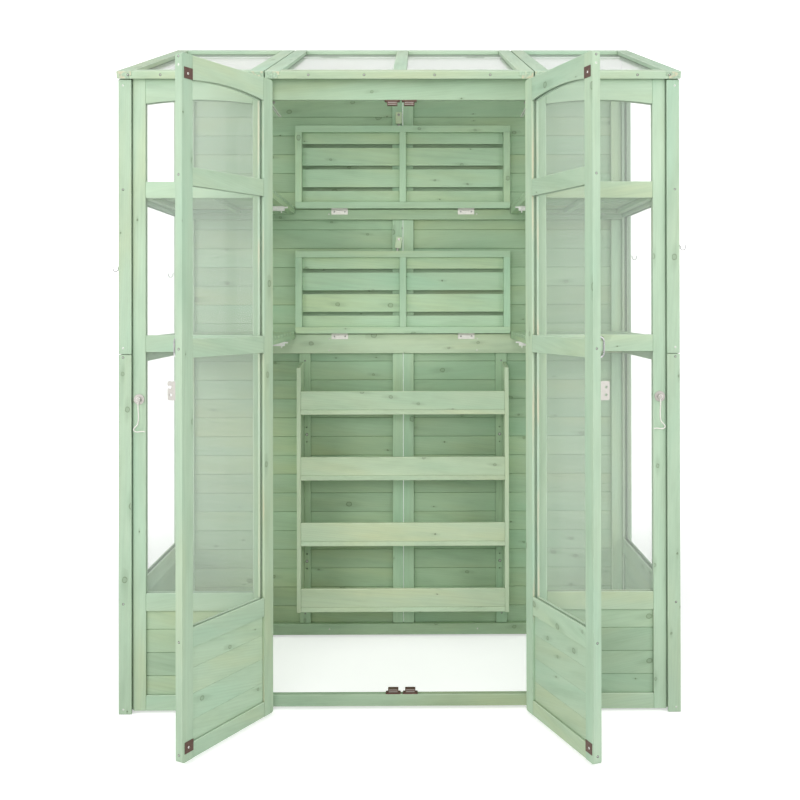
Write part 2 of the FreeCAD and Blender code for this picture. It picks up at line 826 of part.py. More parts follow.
def rack_battens():
    body = new_body("RackBatten")
    x0 = s.rack_batten_inner
    x1 = x0 + s.rack_batten_width
    face = sketch_on(body, "xz")
    outline(face, rectangle(x0, s.back_rail_low_top, x1, s.back_mid_foot))
    hole_x = s.rack_half - s.rack_board - s.peg_hole * 2
    for middle in (s.peg_low, s.peg_high):
        for step in (-1, 0, 1):
            disc(face, hole_x, middle + s.peg_pitch * step, s.peg_hole / 2)
    pad(body, face, s.back_batten_thick, True)
    put(body, 0, batten_y, 0)
    shared_node("rack_battens", [body])


rack_battens()


# Pot rack of four lipped trays between two side boards

def pot_rack():
    y0 = batten_y - s.rack_depth
    corners = [
        (y0, s.rack_foot),
        (batten_y, s.rack_foot),
        (batten_y, s.rack_top),
        (y0, s.rack_front_top),
    ]
    side = put(prism("RackSide", "yz", corners, s.rack_board), s.rack_half - s.rack_board)
    shared_node("rack_sides", [side])
    reach = s.rack_half - s.rack_board
    trays = []
    lips = []
    for i in range(4):
        z = s.tray_first + s.tray_pitch * i
        top = z + s.tray_thick
        trays.append(bar("Tray", -reach, reach, y0, batten_y, z, top))
        lips.append(bar("Lip", -reach, reach, y0, y0 + s.rack_board, top, top + s.lip_height))
    group("rack_trays", trays)
    group("rack_lips", lips)


pot_rack()


# Slatted staging: fixed shelves at the sides and folding flaps in the middle

def slats(x0, x1, start, end, low, along_z):
    """Slats from start to end, with even gaps no smaller than the least gap."""
    length = size(end) - start
    pitch = s.slat_width + s.slat_gap
    count = max(2, int(round((length.value + s.slat_gap.value) / pitch.value)))
    step = (length - s.slat_width) / (count - 1)
    made = []
    for i in range(count):
        a = start + step * i
        b = a + s.slat_width
        if along_z:
            made.append(bar("Slat", x0, x1, low, low + s.slat_thick, a, b))
        else:
            made.append(bar("Slat", x0, x1, a, b, low, low + s.slat_thick))
    return made


def side_shelf(label, shelf_top):
    x0 = s.shelf_inner
    x1 = side_inner - s.shelf_play
    y0 = panel_back_y
    y1 = rail_y
    z0 = shelf_top - stage_thick
    z1 = z0 + s.stage_bar_thick
    w = s.stage_bar
    middle = (x0 + x1 - w) / 2
    bars = [
        bar("EndBar", x0, x1, y0, y0 + w, z0, z1),
        bar("EndBar", x0, x1, y1 - w, y1, z0, z1),
        bar("LongBar", x0, x0 + w, y0 + w, y1 - w, z0, z1),
        bar("LongBar", x1 - w, x1, y0 + w, y1 - w, z0, z1),
        bar("MiddleBar", middle, middle + w, y0 + w, y1 - w, z0, z1),
    ]
    right = group("%s_right_shelf" % label, bars + slats(x0, x1, y0, y1, z1, False))
    mirrored("%s_left_shelf" % label, right)


def flap(label, rail_top):
    """Folding flap, stored upright above its rail and hinged at its foot."""
    z0 = rail_top + s.flap_seam
    z1 = z0 + s.flap_height
    pin_y = rail_y - s.flap_pin_out
    y1 = pin_y + s.flap_back_out
    y0 = y1 - stage_thick
    ym = y0 + s.stage_bar_thick
    x1 = s.flap_half
    w = s.stage_bar
    bars = [
        bar("FlapRail", -x1, x1, y0, ym, z0, z0 + w),
        bar("FlapRail", -x1, x1, y0, ym, z1 - w, z1),
        bar("FlapEnd", -x1, w - x1, y0, ym, z0 + w, z1 - w),
        bar("FlapEnd", x1 - w, x1, y0, ym, z0 + w, z1 - w),
        bar("FlapMiddle", -w / 2, w / 2, y0, ym, z0 + w, z1 - w),
    ]
    group("%s_flap" % label, bars + slats(-x1, x1, z0, z1, ym, True))


shelf_levels = {}
for label, rail_top in (("upper", back_upper_top), ("lower", back_mid_top)):
    pin_z = rail_top + s.flap_seam - s.flap_pin_drop
    shelf_levels[label] = pin_z + s.flap_back_out
    side_shelf(label, shelf_levels[label])
    flap(label, rail_top)


# Butt hinges: two leaves on one pin, three knuckles long.
# Each half is drawn with its pin along z and its leaf towards +y, then turned.

def hinge_half(name, long, wide, radius, fixed, offset, start):
    """One leaf; the fixed one has the outer knuckles and the pin."""
    body = new_body(name)
    third = long / 3
    play = s.board_gap
    clear = radius + play
    own = [(size(0), third - play), (third * 2 + play, long)] if fixed else [(third, third * 2)]
    x0 = offset
    x1 = offset + s.leaf_thick
    leaf = sketch_on(body, "xy")
    outline(leaf, rectangle(x0, clear, x1, wide))
    pad(body, leaf, long)
    for z0, z1 in own:
        web = sketch_on(body, "xy", z0)
        outline(web, rectangle(x0, start, x1, clear + play))
        pad(body, web, z1 - z0)
        knuckle = sketch_on(body, "xy", z0)
        disc(knuckle, 0, 0, radius)
        if not fixed:
            disc(knuckle, 0, 0, s.pin_radius + s.pin_play)
        pad(body, knuckle, z1 - z0)
    if fixed:
        rod = sketch_on(body, "xy")
        disc(rod, 0, 0, s.pin_radius)
        pad(body, rod, long)
    return body


def placed(parts, x=0, y=0, z=0, axis=None, angle=0):
    """A compound of parts, turned about its origin and then put in place."""
    held = doc.addObject("Part::Compound", fresh("Set"))
    held.Links = parts
    if axis:
        turn(held, axis, angle)
    return put(held, x, y, z)


def twin_of(part):
    twin = doc.addObject("Part::Mirroring", fresh("Mirror"))
    twin.Source = part
    twin.Normal = (1, 0, 0)
    return twin


def swept(name, edges, radius):
    """Round wire bent along a path."""
    path = Part.Wire(edges)
    start = edges[0].valueAt(edges[0].FirstParameter)
    heading = edges[0].tangentAt(edges[0].FirstParameter)
    ring = Part.Wire([Part.makeCircle(radius, start, heading)])
    wire = doc.addObject("Part::Feature", fresh(name))
    wire.Shape = path.makePipeShell([ring], True, False)
    return wire


LONG_TO_LEFT = Rotation(Vector(0, 1, 0), Vector(0, 0, -1), Vector(-1, 0, 0), "XYZ")
FORWARD_LEAF = Rotation(Vector(0, 0, 1), Vector(0, -1, 0), Vector(1, 0, 0), "XYZ")
BEHIND_WALL = Rotation(Vector(0, -1, 0), Vector(0, 0, -1), Vector(1, 0, 0), "XYZ")
UNDER_VENT = Rotation(Vector(0, 0, 1), Vector(0, 1, 0), Vector(-1, 0, 0), "XYZ")
edge_offset = s.leaf_thick * 0.06
edge_start = s.pin_radius * 1.4
fixed_leaves = []


def turned(body, rotation):
    body.Placement = Placement(Vector(), rotation)
    return body


# Doors, drawn closed with the pin on the z axis and the free edge along +x

def door_parts():
    x0 = s.hinge_gap / 2
    x1 = door_reach_u
    inner0 = x0 + s.door_stile_width
    inner1 = x1 - s.door_stile_width
    foot = s.door_foot
    top = s.door_top
    frame = [
        stile("HingeStile", x0, inner0, foot, top, False, True, s.door_corner),
        stile("FreeStile", inner1, x1, foot, top, True, False, s.door_corner),
    ]
    frame += five_rails(inner0, inner1, foot, top)
    face_y = s.door_pin_out
    inside_y = face_y + s.frame_thick

    strikes = []
    right = x1 - s.strike_inset
    for z in (s.strike_low, s.strike_high):
        corners = rectangle(right - s.strike_wide, z, right, z + s.strike_tall)
        strikes.append(prism("Strike", "xz", corners, s.strike_thick, -inside_y, True))

    hinges = []
    for z in hinge_heights:
        half = hinge_half(
            "DoorLeaf", s.leaf_long, s.leaf_wide, s.knuckle_radius, False, edge_offset, edge_start
        )
        hinges.append(put(half, 0, 0, z))

    return {
        "frame": [placed(frame, 0, face_y, 0)],
        "boards": [placed(panel_boards(inner0, inner1, s.bottom_rail_top), 0, face_y, 0)],
        "glazing": [placed(three_panes(inner0, inner1, groove_back - s.pane_thick), 0, face_y, 0)],
        "strikes": strikes,
        "hinges": hinges,
        "handle": [bow_handle(x1 - s.door_stile_width / 2, face_y)],
    }


def bow_handle(x, face_y):
    """Bow handle on the outer face of the free stile."""
    foot = s.handle_foot.value / 2
    low = s.handle_low.value + foot
    high = handle_high.value - foot
    x = x.value
    y = face_y.value
    out = y - s.handle_out.value + s.handle_rod.value / 2
    bend = (high - low) / 4
    turn_in = bend * (1 - 1 / math.sqrt(2))
    points = [
        Vector(x, y, low),
        Vector(x, out + bend, low),
        Vector(x, out + turn_in, low + turn_in),
        Vector(x, out, low + bend),
        Vector(x, out, high - bend),
        Vector(x, out + turn_in, high - turn_in),
        Vector(x, out + bend, high),
        Vector(x, y, high),
    ]
    edges = [
        Part.LineSegment(points[0], points[1]).toShape(),
        Part.Arc(points[1], points[2], points[3]).toShape(),
        Part.LineSegment(points[3], points[4]).toShape(),
        Part.Arc(points[4], points[5], points[6]).toShape(),
        Part.LineSegment(points[6], points[7]).toShape(),
    ]
    bow = swept("Bow", edges, s.handle_rod.value / 2)
    shape = bow.Shape
    for z in (low, high):
        shape = shape.fuse(Part.makeCylinder(foot, 2.0, Vector(x, y - 2.0, z), Vector(0, 1, 0)))
    bow.Shape = shape.removeSplitter()
    return bow


def hasp(open_slot):
    """Angle bracket at the free edge; its outstanding leg takes a padlock."""
    body = new_body("Hasp")
    x1 = door_reach_u
    face_y = s.door_pin_out
    y0 = face_y - s.hasp_out
    y1 = face_y
    leg = sketch_on(body, "yz", x1 - s.hasp_thick)
    z0 = s.hasp_low
    z1 = hasp_high
    tall = z1 - z0
    if open_slot:
        slot0 = z0 + tall * 0.62
        slot1 = z0 + tall * 0.76
        deep = y0 + s.hasp_out * 0.5
        corners, arcs = rounded(y0, z0, y1, z1, s.hasp_corner, True, False)
        slot = [(y0, slot1), (deep, slot1), (deep, slot0), (y0, slot0)]
        outline(leg, corners + slot, arcs)
    else:
        outline(leg, *rounded(y0, z0, y1, z1, s.hasp_corner, True, False))
        disc(leg, y0 + s.hasp_out * 0.4, z0 + tall * 0.69, tall * 0.075)
    disc(leg, y0 + s.hasp_out * 0.4, z0 + tall * 0.28, tall * 0.075)
    pad(body, leg, s.hasp_thick)
    base = sketch_on(body, "xz", -(face_y - s.hasp_thick))
    outline(base, rectangle(x1 - s.hasp_base, z0, x1, z1))
    pad(body, base, s.hasp_thick, True)
    return body


hinge_heights = [s.door_hinge_low, s.door_hinge_mid, s.door_hinge_high]
parts = door_parts()
for side, angle, slot in (("left", s.left_door_angle, True), ("right", s.right_door_angle, False)):
    own = dict(parts)
    own["hasp"] = [hasp(slot)]
    left = side == "left"
    for kind in ("frame", "boards", "glazing", "hinges", "handle", "hasp", "strikes"):
        pieces = own[kind] if left else [twin_of(part) for part in own[kind]]
        node = group("%s_door_%s" % (side, kind), pieces)
        turn(node, (0, 0, -1 if left else 1), angle)
        put(node, -pin_x if left else pin_x, front + door_pin_y, 0)

for z in hinge_heights:
    half = hinge_half(
        "FrameLeaf",
        s.leaf_long,
        s.leaf_wide,
        s.knuckle_radius,
        True,
        edge_offset,
        edge_start,
    )
    fixed_leaves.append(put(half, pin_x, front + door_pin_y, z))


# Hinges of the folding flaps

surface_offset = s.small_knuckle + s.board_gap - s.leaf_thick
for label, rail_top in (("upper", back_upper_top), ("lower", back_mid_top)):
    pin_y = rail_y - s.flap_pin_out
    pin_z = rail_top + s.flap_seam - s.flap_pin_drop
    half_long = s.flap_leaf_long / 2
    still = turned(
        hinge_half(
            "RailLeaf", s.flap_leaf_long, s.flap_leaf_drop, s.small_knuckle, True, surface_offset, size(0)
        ),
        LONG_TO_LEFT,
    )
    fixed_leaves.append(put(still, s.flap_hinge_x + half_long, pin_y, pin_z))
    moving = turned(
        hinge_half(
            "FlapLeaf", s.flap_leaf_long, s.flap_leaf_drop, s.small_knuckle, False, surface_offset, size(0)
        ),
        FORWARD_LEAF,
    )
    shared_node("%s_flap_hinges" % label, [put(moving, s.flap_hinge_x - half_long, pin_y, pin_z)])


# Roof: two fixed frames and a vent between them, drawn flat with the face at y = 0,
# z along the slope, and then laid on the walls

def roof_member(name, x0, x1, z0, z1, cuts):
    lap = s.rebate_width
    left = x0 + lap if "left" in cuts else x0
    right = x1 - lap if "right" in cuts else x1
    low = z0 + lap if "low" in cuts else z0
    high = z1 - lap if "high" in cuts else z1
    if "cross" in cuts:
        left = x0 - lap
        right = x1 + lap
    if "ends" in cuts:
        low = z0 - lap
        high = z1 + lap
    layers = [
        (rectangle(x0, z0, x1, z1), None, None, s.roof_face_layer),
        (rectangle(left, low, right, high), None, s.roof_face_layer, s.frame_thick),
    ]
    return layered(name, layers)


def on_roof(parts):
    y = eaves_y - s.frame_thick * sine(s.roof_pitch)
    z = s.roof_eaves + s.frame_thick * cosine(s.roof_pitch)
    return placed(parts, 0, y, z, (-1, 0, 0), 90 - s.roof_pitch)


def roof_pane(x0, x1):
    play = s.rebate_width - s.pane_fit
    y0 = s.roof_face_layer
    low = s.roof_bar - play
    high = s.roof_length - s.roof_bar + play
    return bar("RoofPane", x0 - play, x1 + play, y0, y0 + s.pane_thick, low, high)


def roof():
    length = s.roof_length
    wide = s.roof_bar
    x0 = vent_half + s.vent_gap
    x1 = half_width + s.roof_side
    inner0 = x0 + wide
    inner1 = x1 - wide
    pieces = [
        roof_member("RoofBar", x0, inner0, 0, length, ("right",)),
        roof_member("RoofBar", inner1, x1, 0, length, ("left",)),
        roof_member("EavesBar", inner0, inner1, 0, wide, ("cross", "high")),
        roof_member("HeadBar", inner0, inner1, length - wide, length, ("cross", "low")),
    ]
    right = group("roof_right_frame", [on_roof(pieces)])
    mirrored("roof_left_frame", right)
    shared_node("roof_glazing", [on_roof([roof_pane(inner0, inner1)])])

    reach = vent_half
    inner = reach - wide
    half = s.vent_muntin / 2
    vent = [
        roof_member("VentBar", -reach, -inner, 0, length, ("right",)),
        roof_member("VentBar", inner, reach, 0, length, ("left",)),
        roof_member("VentEaves", -inner, inner, 0, wide, ("cross", "high")),
        roof_member("VentHead", -inner, inner, length - wide, length, ("cross", "low")),
        roof_member("VentMiddle", -half, half, wide, length - wide, ("left", "right", "ends")),
    ]
    return vent, [roof_pane(-inner, -half), roof_pane(half, inner)]


vent_frame, vent_panes = roof()
group("vent_frame", [on_roof(vent_frame)])
group("vent_glazing", [on_roof(vent_panes)])

# The vent's hinges stand behind the wall, under the overhang of the roof

surface_offset = s.knuckle_radius + s.board_gap - s.leaf_thick
vent_pin_y = wall_back_y + s.knuckle_radius + s.board_gap
under_pin = s.roof_eaves + slope * (vent_pin_y - eaves_y)
vent_pin_z = under_pin - (s.knuckle_radius + s.board_gap) / cosine(s.roof_pitch)
half_long = s.leaf_long / 2
still = turned(
    hinge_half("WallLeaf", s.leaf_long, s.leaf_wide, s.knuckle_radius, True, surface_offset, size(0)),
    BEHIND_WALL,
)
fixed_leaves.append(put(still, s.vent_hinge_x - half_long, vent_pin_y, vent_pin_z))
shared_node("fixed_hinge_leaves", fixed_leaves)
moving = turned(
    hinge_half("VentLeaf", s.leaf_long, s.leaf_wide, s.knuckle_radius, False, surface_offset, size(0)),
    UNDER_VENT,
)
moving = placed([moving], s.vent_hinge_x + half_long, vent_pin_y, vent_pin_z, (1, 0, 0), s.roof_pitch)
shared_node("vent_hinges", [moving])


# Magnetic catches between the doors: a plate, two boxes and their pole strips

def magnetic_catches():
    made = []
    y0 = panel_back_y + s.catch_back
    y1 = y0 + s.catch_deep
    x = s.catch_x
    half = s.catch_plate_long / 2
    for base, way in ((s.header_foot, -1), (s.sill_top, 1)):
        plate = base + s.catch_plate * way
        far = base + s.catch_tall * way
        foot, top = (plate, base) if way < 0 else (base, plate)
        low, high = (far, plate) if way < 0 else (plate, far)
        for side in (-1, 1):
            middle = x + s.catch_pitch / 2 * side
            made.append(bar("CatchPlate", middle - half, middle + half, y0, y1, foot, top))
            x0 = middle - s.catch_box / 2
            made.append(bar("CatchBox", x0, x0 + s.catch_box, y0 + 1, y1, low, high))
            for z in (low + 1.5, high - 3.5):
                made.append(bar("Pole", x0 + 2, x0 + s.catch_box - 2, y0, y0 + 1, z, z + 2))
    group("magnetic_catches", made)


magnetic_catches()


# Slide bolts under the inner ends of the shelves; their rods carry a lowered flap

def slide_bolt(label, shelf_top):
    x0 = s.shelf_inner + 1.5
    under = shelf_top - stage_thick
    centre = under - s.bolt_drop
    y = front + s.bolt_y
    rod = s.bolt_rod / 2
    half = s.bolt_wide / 2
    half_body = s.bolt_wide * 0.27
    flange = 1.6
    body = new_body("Barrel")
    section = sketch_on(body, "yz")
    foot = under - s.bolt_tall
    shoulder = under - flange
    outline(
        section,
        [
            (y - half_body, foot),
            (y + half_body, foot),
            (y + half_body, shoulder),
            (y + half, shoulder),
            (y + half, under),
            (y - half, under),
            (y - half, shoulder),
            (y - half_body, shoulder),
        ],
    )
    disc(section, y, centre, rod + s.bolt_play)
    pad(body, section, s.bolt_long)
    put(body, x0)
    knob_x = s.bolt_reach + s.bolt_tip + s.bolt_travel
    knob = s.bolt_knob / 2
    slot = body.newObject("PartDesign::Pocket", fresh("Slot"))
    opening = sketch_on(body, "xy", foot - 1)
    left = knob_x - knob - 0.3 - x0
    outline(opening, rectangle(left, y - knob - 0.2, left + s.bolt_travel + knob * 2 + 0.6, y + knob + 0.2))
    slot.Profile = opening
    slot.Reversed = True
    slot.setExpression("Length", (centre - foot + 1).text)
    body.Tip = slot

    bolt = new_body("Rod")
    ring = sketch_on(bolt, "yz", s.bolt_reach)
    disc(ring, y, centre, rod)
    pad(bolt, ring, s.bolt_long)
    handle = sketch_on(bolt, "xy", centre)
    disc(handle, knob_x, y, knob)
    pad(bolt, handle, s.bolt_tall + 3, True)
    right = group("%s_right_bolt" % label, [bolt])
    mirrored("%s_left_bolt" % label, right)
    return body


barrels = [slide_bolt(label, shelf_levels[label]) for label in ("upper", "lower")]
shared_node("bolt_barrels", barrels)


# Turn buttons that hold the stored flaps; a tip stands just above the flap

fittings = []


def turn_button(label, flap_top, tilt):
    y1 = batten_y - s.board_gap
    y0 = y1 - s.button_thick
    half = s.button_wide / 2
    top = s.button_pivot_in
    foot = top - s.button_long
    corners, arcs = rounded(-half, foot, half, top, size(3.0), True, True)
    block = new_body("Button")
    face = outline(sketch_on(block, "xz"), corners, arcs)
    disc(face, 0, 0, s.button_screw + s.pin_play)
    pad(block, face, s.button_thick, True)
    put(block, 0, 0, 0)
    tip = doc.addObject("Part::Cylinder", fresh("Tip"))
    reach = s.button_reach - s.button_clear
    bind(tip, Radius=s.button_tip, Height=reach + foot)
    put(tip, 0, s.button_thick / 2, -reach)
    pivot_z = flap_top + s.button_reach
    node = group("%s_turn_button" % label, [block, tip])
    turn(node, (0, 1, 0), tilt)
    put(node, -s.button_x, y0, pivot_z)
    screw = new_body("ButtonScrew")
    shank = sketch_on(screw, "xz")
    disc(shank, 0, 0, s.button_screw)
    pad(screw, shank, s.button_thick + s.board_gap * 2, False)
    head = sketch_on(screw, "xz", s.button_thick + s.board_gap * 2)
    disc(head, 0, 0, s.button_screw * 2)
    pad(screw, head, 1.2, False)
    fittings.append(put(screw, -s.button_x, batten_y, pivot_z))


upper_flap_top = back_upper_top + s.flap_seam + s.flap_height
lower_flap_top = back_mid_top + s.flap_seam + s.flap_height
turn_button("upper", upper_flap_top, size(0.0))
turn_button("lower", lower_flap_top, s.button_tilt)


# Cabin hooks: a plate with a stud on the wall, and a bent wire hook on the stud

def cabin_hook(lift):
    z = s.hook_z + lift
    y_plate = panel_y - s.hook_plate_thick
    stud = s.hook_stud
    wire = s.hook_wire / 2
    long = s.hook_out + wire + s.board_gap
    body = new_body("HookPlate")
    disc_sketch = sketch_on(body, "xz")
    disc(disc_sketch, 0, 0, s.hook_plate_radius)
    pad(body, disc_sketch, s.hook_plate_thick, True)
    post = sketch_on(body, "xz")
    disc(post, 0, 0, stud)
    pad(body, post, long, False)
    cap = sketch_on(body, "xz", long)
    disc(cap, 0, 0, stud + 1.3)
    pad(body, cap, 1.4, False)
    return put(body, s.hook_x, y_plate, z)


def hook_wire():
    """Ring, shank and bend, hanging from the origin in the x-z plane."""
    wire = s.hook_wire.value / 2
    ring = s.hook_stud.value + s.pin_play.value + wire
    eye = Part.makeTorus(ring, wire, Vector(0, 0, 0), Vector(0, 1, 0))
    long = s.hook_long.value
    spots = [
        Vector(-1.0, 0, -ring),
        Vector(-1.0, 0, -long * 0.5),
        Vector(-1.0, 0, -long * 0.95),
        Vector(1.5, 0, -long - 5),
        Vector(8.0, 0, -long - 12),
        Vector(11.0, 0, -long - 18),
        Vector(7.5, 0, -long - 22.5),
        Vector(-3.0, 0, -long - 23.5),
        Vector(-19.0, 0, -long - 24),
    ]
    curve = Part.BSplineCurve()
    curve.interpolate(spots)
    bend = swept("HookBend", [curve.toShape()], wire)
    bend.Shape = bend.Shape.fuse(eye).removeSplitter()
    return bend


wire = hook_wire()
sag = wire.Shape.Solids[0].CenterOfMass
hang = math.degrees(math.atan2(sag.x, -sag.z))
for side, lift in (("left", 0.0), ("right", 5.0)):
    plate = cabin_hook(lift)
    hook = placed([wire], 0, 0, 0, (0, 1, 0), size(hang))
    if side == "left":
        plate = twin_of(plate)
        hook = twin_of(hook)
    fittings.append(plate)
    node = group("%s_cabin_hook" % side, [hook])
    x = -s.hook_x if side == "left" else s.hook_x
    put(node, x, panel_y - s.hook_plate_thick - s.hook_out, s.hook_z + lift)


# Vent stays: a rolled eye on a bracket behind the header, and a flat arm

def vent_stay():
    eye = s.stay_eye
    pin = s.pin_radius
    half = s.stay_wide / 2
    y = front + s.stay_y
    behind = panel_back_y + s.frame_thick
    bracket = new_body("StayBracket")
    cheek = 1.6
    gap = 0.3
    outer = half + gap + cheek
    plate = sketch_on(bracket, "xz", -behind)
    outline(plate, rectangle(s.stay_x - outer - 7, s.stay_z - 3, s.stay_x + outer + 7, s.stay_z + 27))
    pad(bracket, plate, cheek, True)
    for x0 in (s.stay_x - outer, s.stay_x + half + gap):
        lug = sketch_on(bracket, "yz", x0)
        outline(lug, rectangle(behind, s.stay_z - 3, y + 3, s.stay_z + 4))
        pad(bracket, lug, cheek)
    rod = sketch_on(bracket, "yz", s.stay_x - outer)
    disc(rod, y, s.stay_z, pin)
    pad(bracket, rod, outer * 2)
    fittings.extend([bracket, twin_of(bracket)])

    arm = new_body("StayArm")
    roll = sketch_on(arm, "yz", -half)
    disc(roll, 0, 0, eye)
    disc(roll, 0, 0, pin + s.pin_play)
    pad(arm, roll, half * 2)
    strap = sketch_on(arm, "yz", -half)
    low = -eye
    high = low + s.stay_thick
    outline(strap, [(0, low), (s.stay_long, low), (s.stay_long, high), (pin + 0.8, high), (0, high)])
    pad(arm, strap, half * 2)
    right = group("right_vent_stay", [put(arm, s.stay_x, y, s.stay_z)])
    mirrored("left_vent_stay", right)


vent_stay()
group("pivot_fittings", fittings)


# Cup hooks on the corner strips, for a cover or hanging pots

def cup_hook():
    wire = s.cup_hook_wire.value / 2
    reach = s.cup_hook_out.value - wire
    small = 3.0
    large = (reach - 5.0 - small) / 2
    x = 0.0
    z = -2.0 * small
    middle = 5.0 + small + large
    low_x = 5.0 + small
    edges = [
        Part.LineSegment(Vector(x, 0, 0), Vector(5.0, 0, 0)).toShape(),
        Part.Arc(
            Vector(5.0, 0, 0),
            Vector(5.0 + small * math.sqrt(0.5), 0, -small * (1 - math.sqrt(0.5))),
            Vector(low_x, 0, -small),
        ).toShape(),
        Part.LineSegment(Vector(low_x, 0, -small), Vector(low_x, 0, z)).toShape(),
        Part.Arc(Vector(low_x, 0, z), Vector(middle, 0, z - large), Vector(reach, 0, z)).toShape(),
        Part.LineSegment(Vector(reach, 0, z), Vector(reach, 0, 1.0)).toShape(),
    ]
    return swept("CupHook", edges, wire)


hooks = []
cup = cup_hook()
for depth in (s.cup_hook_front, s.cup_hook_rear):
    hooks.append(placed([cup], half_width, front + depth, s.cup_hook_right))
    left = placed([twin_of(cup)], -half_width, front + depth, s.cup_hook_left)
    hooks.append(left)
group("cup_hooks", hooks)


doc.recompute()
for thing in doc.Objects:
    if "Invalid" in thing.State or "Error" in thing.State:
        raise RuntimeError("%s is %s" % (thing.Label, thing.State))
os.makedirs("parts", exist_ok=True)
for label, node in nodes.items():
    shape = node.Shape
    if shape.isNull() or not shape.isValid() or not shape.Solids:
        raise RuntimeError("%s has no sound solid" % label)
    shape.exportStep("parts/%s.step" % label)
print("%d nodes written" % len(nodes))
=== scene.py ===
import json
import math
import random

import bmesh
import bpy
import numpy as np
from mathutils import Matrix, Vector
from mathutils.bvhtree import BVHTree


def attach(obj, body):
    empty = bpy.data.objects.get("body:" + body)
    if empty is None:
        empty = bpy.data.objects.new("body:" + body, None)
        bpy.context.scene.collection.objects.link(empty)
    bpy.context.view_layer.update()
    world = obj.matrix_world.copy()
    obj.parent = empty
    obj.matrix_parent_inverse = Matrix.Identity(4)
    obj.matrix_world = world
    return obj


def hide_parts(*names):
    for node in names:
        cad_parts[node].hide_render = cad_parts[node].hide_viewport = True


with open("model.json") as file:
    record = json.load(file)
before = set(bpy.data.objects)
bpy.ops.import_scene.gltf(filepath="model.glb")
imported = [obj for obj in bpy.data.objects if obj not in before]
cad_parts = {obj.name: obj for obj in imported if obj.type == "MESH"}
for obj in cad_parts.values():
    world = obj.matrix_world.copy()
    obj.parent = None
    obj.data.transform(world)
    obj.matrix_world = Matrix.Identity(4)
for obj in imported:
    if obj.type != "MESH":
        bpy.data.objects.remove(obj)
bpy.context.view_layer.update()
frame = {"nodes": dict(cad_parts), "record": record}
nodeBodies = {n: b for b, ns in frame["record"]["behaviour"]["bodies"].items() for n in ns}
nodeSlots = {s["node"]: s["material_slot"] for s in frame["record"]["subparts"]}
print("frame loaded:", len(frame["nodes"]), "pieces")


# Short ways to add and join nodes

def feed(tree, socket, value):
    if isinstance(value, bpy.types.NodeSocket):
        tree.links.new(value, socket)
    else:
        socket.default_value = value


def addNode(tree, kind, inputs=None, **settings):
    node = tree.nodes.new(kind)
    for key, value in settings.items():
        setattr(node, key, value)
    for key, value in (inputs or {}).items():
        feed(tree, node.inputs[key], value)
    return node


class Shader:
    # a material with its nodes
    def __init__(self, name):
        self.material = bpy.data.materials.new(name)
        self.material.use_nodes = True
        self.tree = self.material.node_tree
        self.surface = self.tree.nodes["Principled BSDF"].inputs

    def add(self, kind, inputs=None, **settings):
        return addNode(self.tree, kind, inputs, **settings)

    def finish(self, **values):
        # the surface's own inputs, each named without its spaces
        for socket in self.surface:
            name = socket.name.replace(" ", "")
            if name in values:
                feed(self.tree, socket, values[name])

    def math(self, operation, a, b=0.0, c=None):
        inputs = {0: a, 1: b} if c is None else {0: a, 1: b, 2: c}
        return self.add("ShaderNodeMath", inputs, operation=operation).outputs[0]

    def vector(self, operation, inputs, output="Vector"):
        return self.add("ShaderNodeVectorMath", inputs, operation=operation).outputs[output]

    def stretch(self, vector, scale):
        return self.add("ShaderNodeMapping", {"Vector": vector, "Scale": scale}).outputs[0]

    def noise(self, vector, detail=2.0, rough=0.5):
        inputs = {"Vector": vector, "Scale": 1.0, "Detail": detail, "Roughness": rough}
        return self.add("ShaderNodeTexNoise", inputs).outputs["Fac"]

    def ramp(self, value, low, high, outLow=0.0, outHigh=1.0, kind="SMOOTHSTEP"):
        inputs = {"Value": value, "From Min": low, "From Max": high}
        inputs.update({"To Min": outLow, "To Max": outHigh})
        return self.add("ShaderNodeMapRange", inputs, interpolation_type=kind).outputs["Result"]

    def line(self, value, low, high, outLow, outHigh):
        return self.ramp(value, low, high, outLow, outHigh, "LINEAR")

    def blend(self, factor, a, b):
        node = self.add("ShaderNodeMix", {"Factor": factor}, data_type="RGBA")
        for key, value in (("A", a), ("B", b)):
            socket = [s for s in node.inputs if s.name == key and s.type == "RGBA"][0]
            plain = not isinstance(value, bpy.types.NodeSocket)
            feed(self.tree, socket, (*value, 1.0) if plain else value)
        return [s for s in node.outputs if s.type == "RGBA"][0]

    def read(self, name, output="Fac"):
        return self.add("ShaderNodeAttribute", attribute_name=name).outputs[output]

    def bump(self, height, strength, depth):
        inputs = {"Height": height, "Strength": strength, "Distance": depth}
        return self.add("ShaderNodeBump", inputs).outputs[0]


def shaded(colour, *factors):
    if len(factors) == 1:
        factors = factors * 3
    return tuple(min(1.0, c * f) for c, f in zip(colour, factors))


# Stained softwood

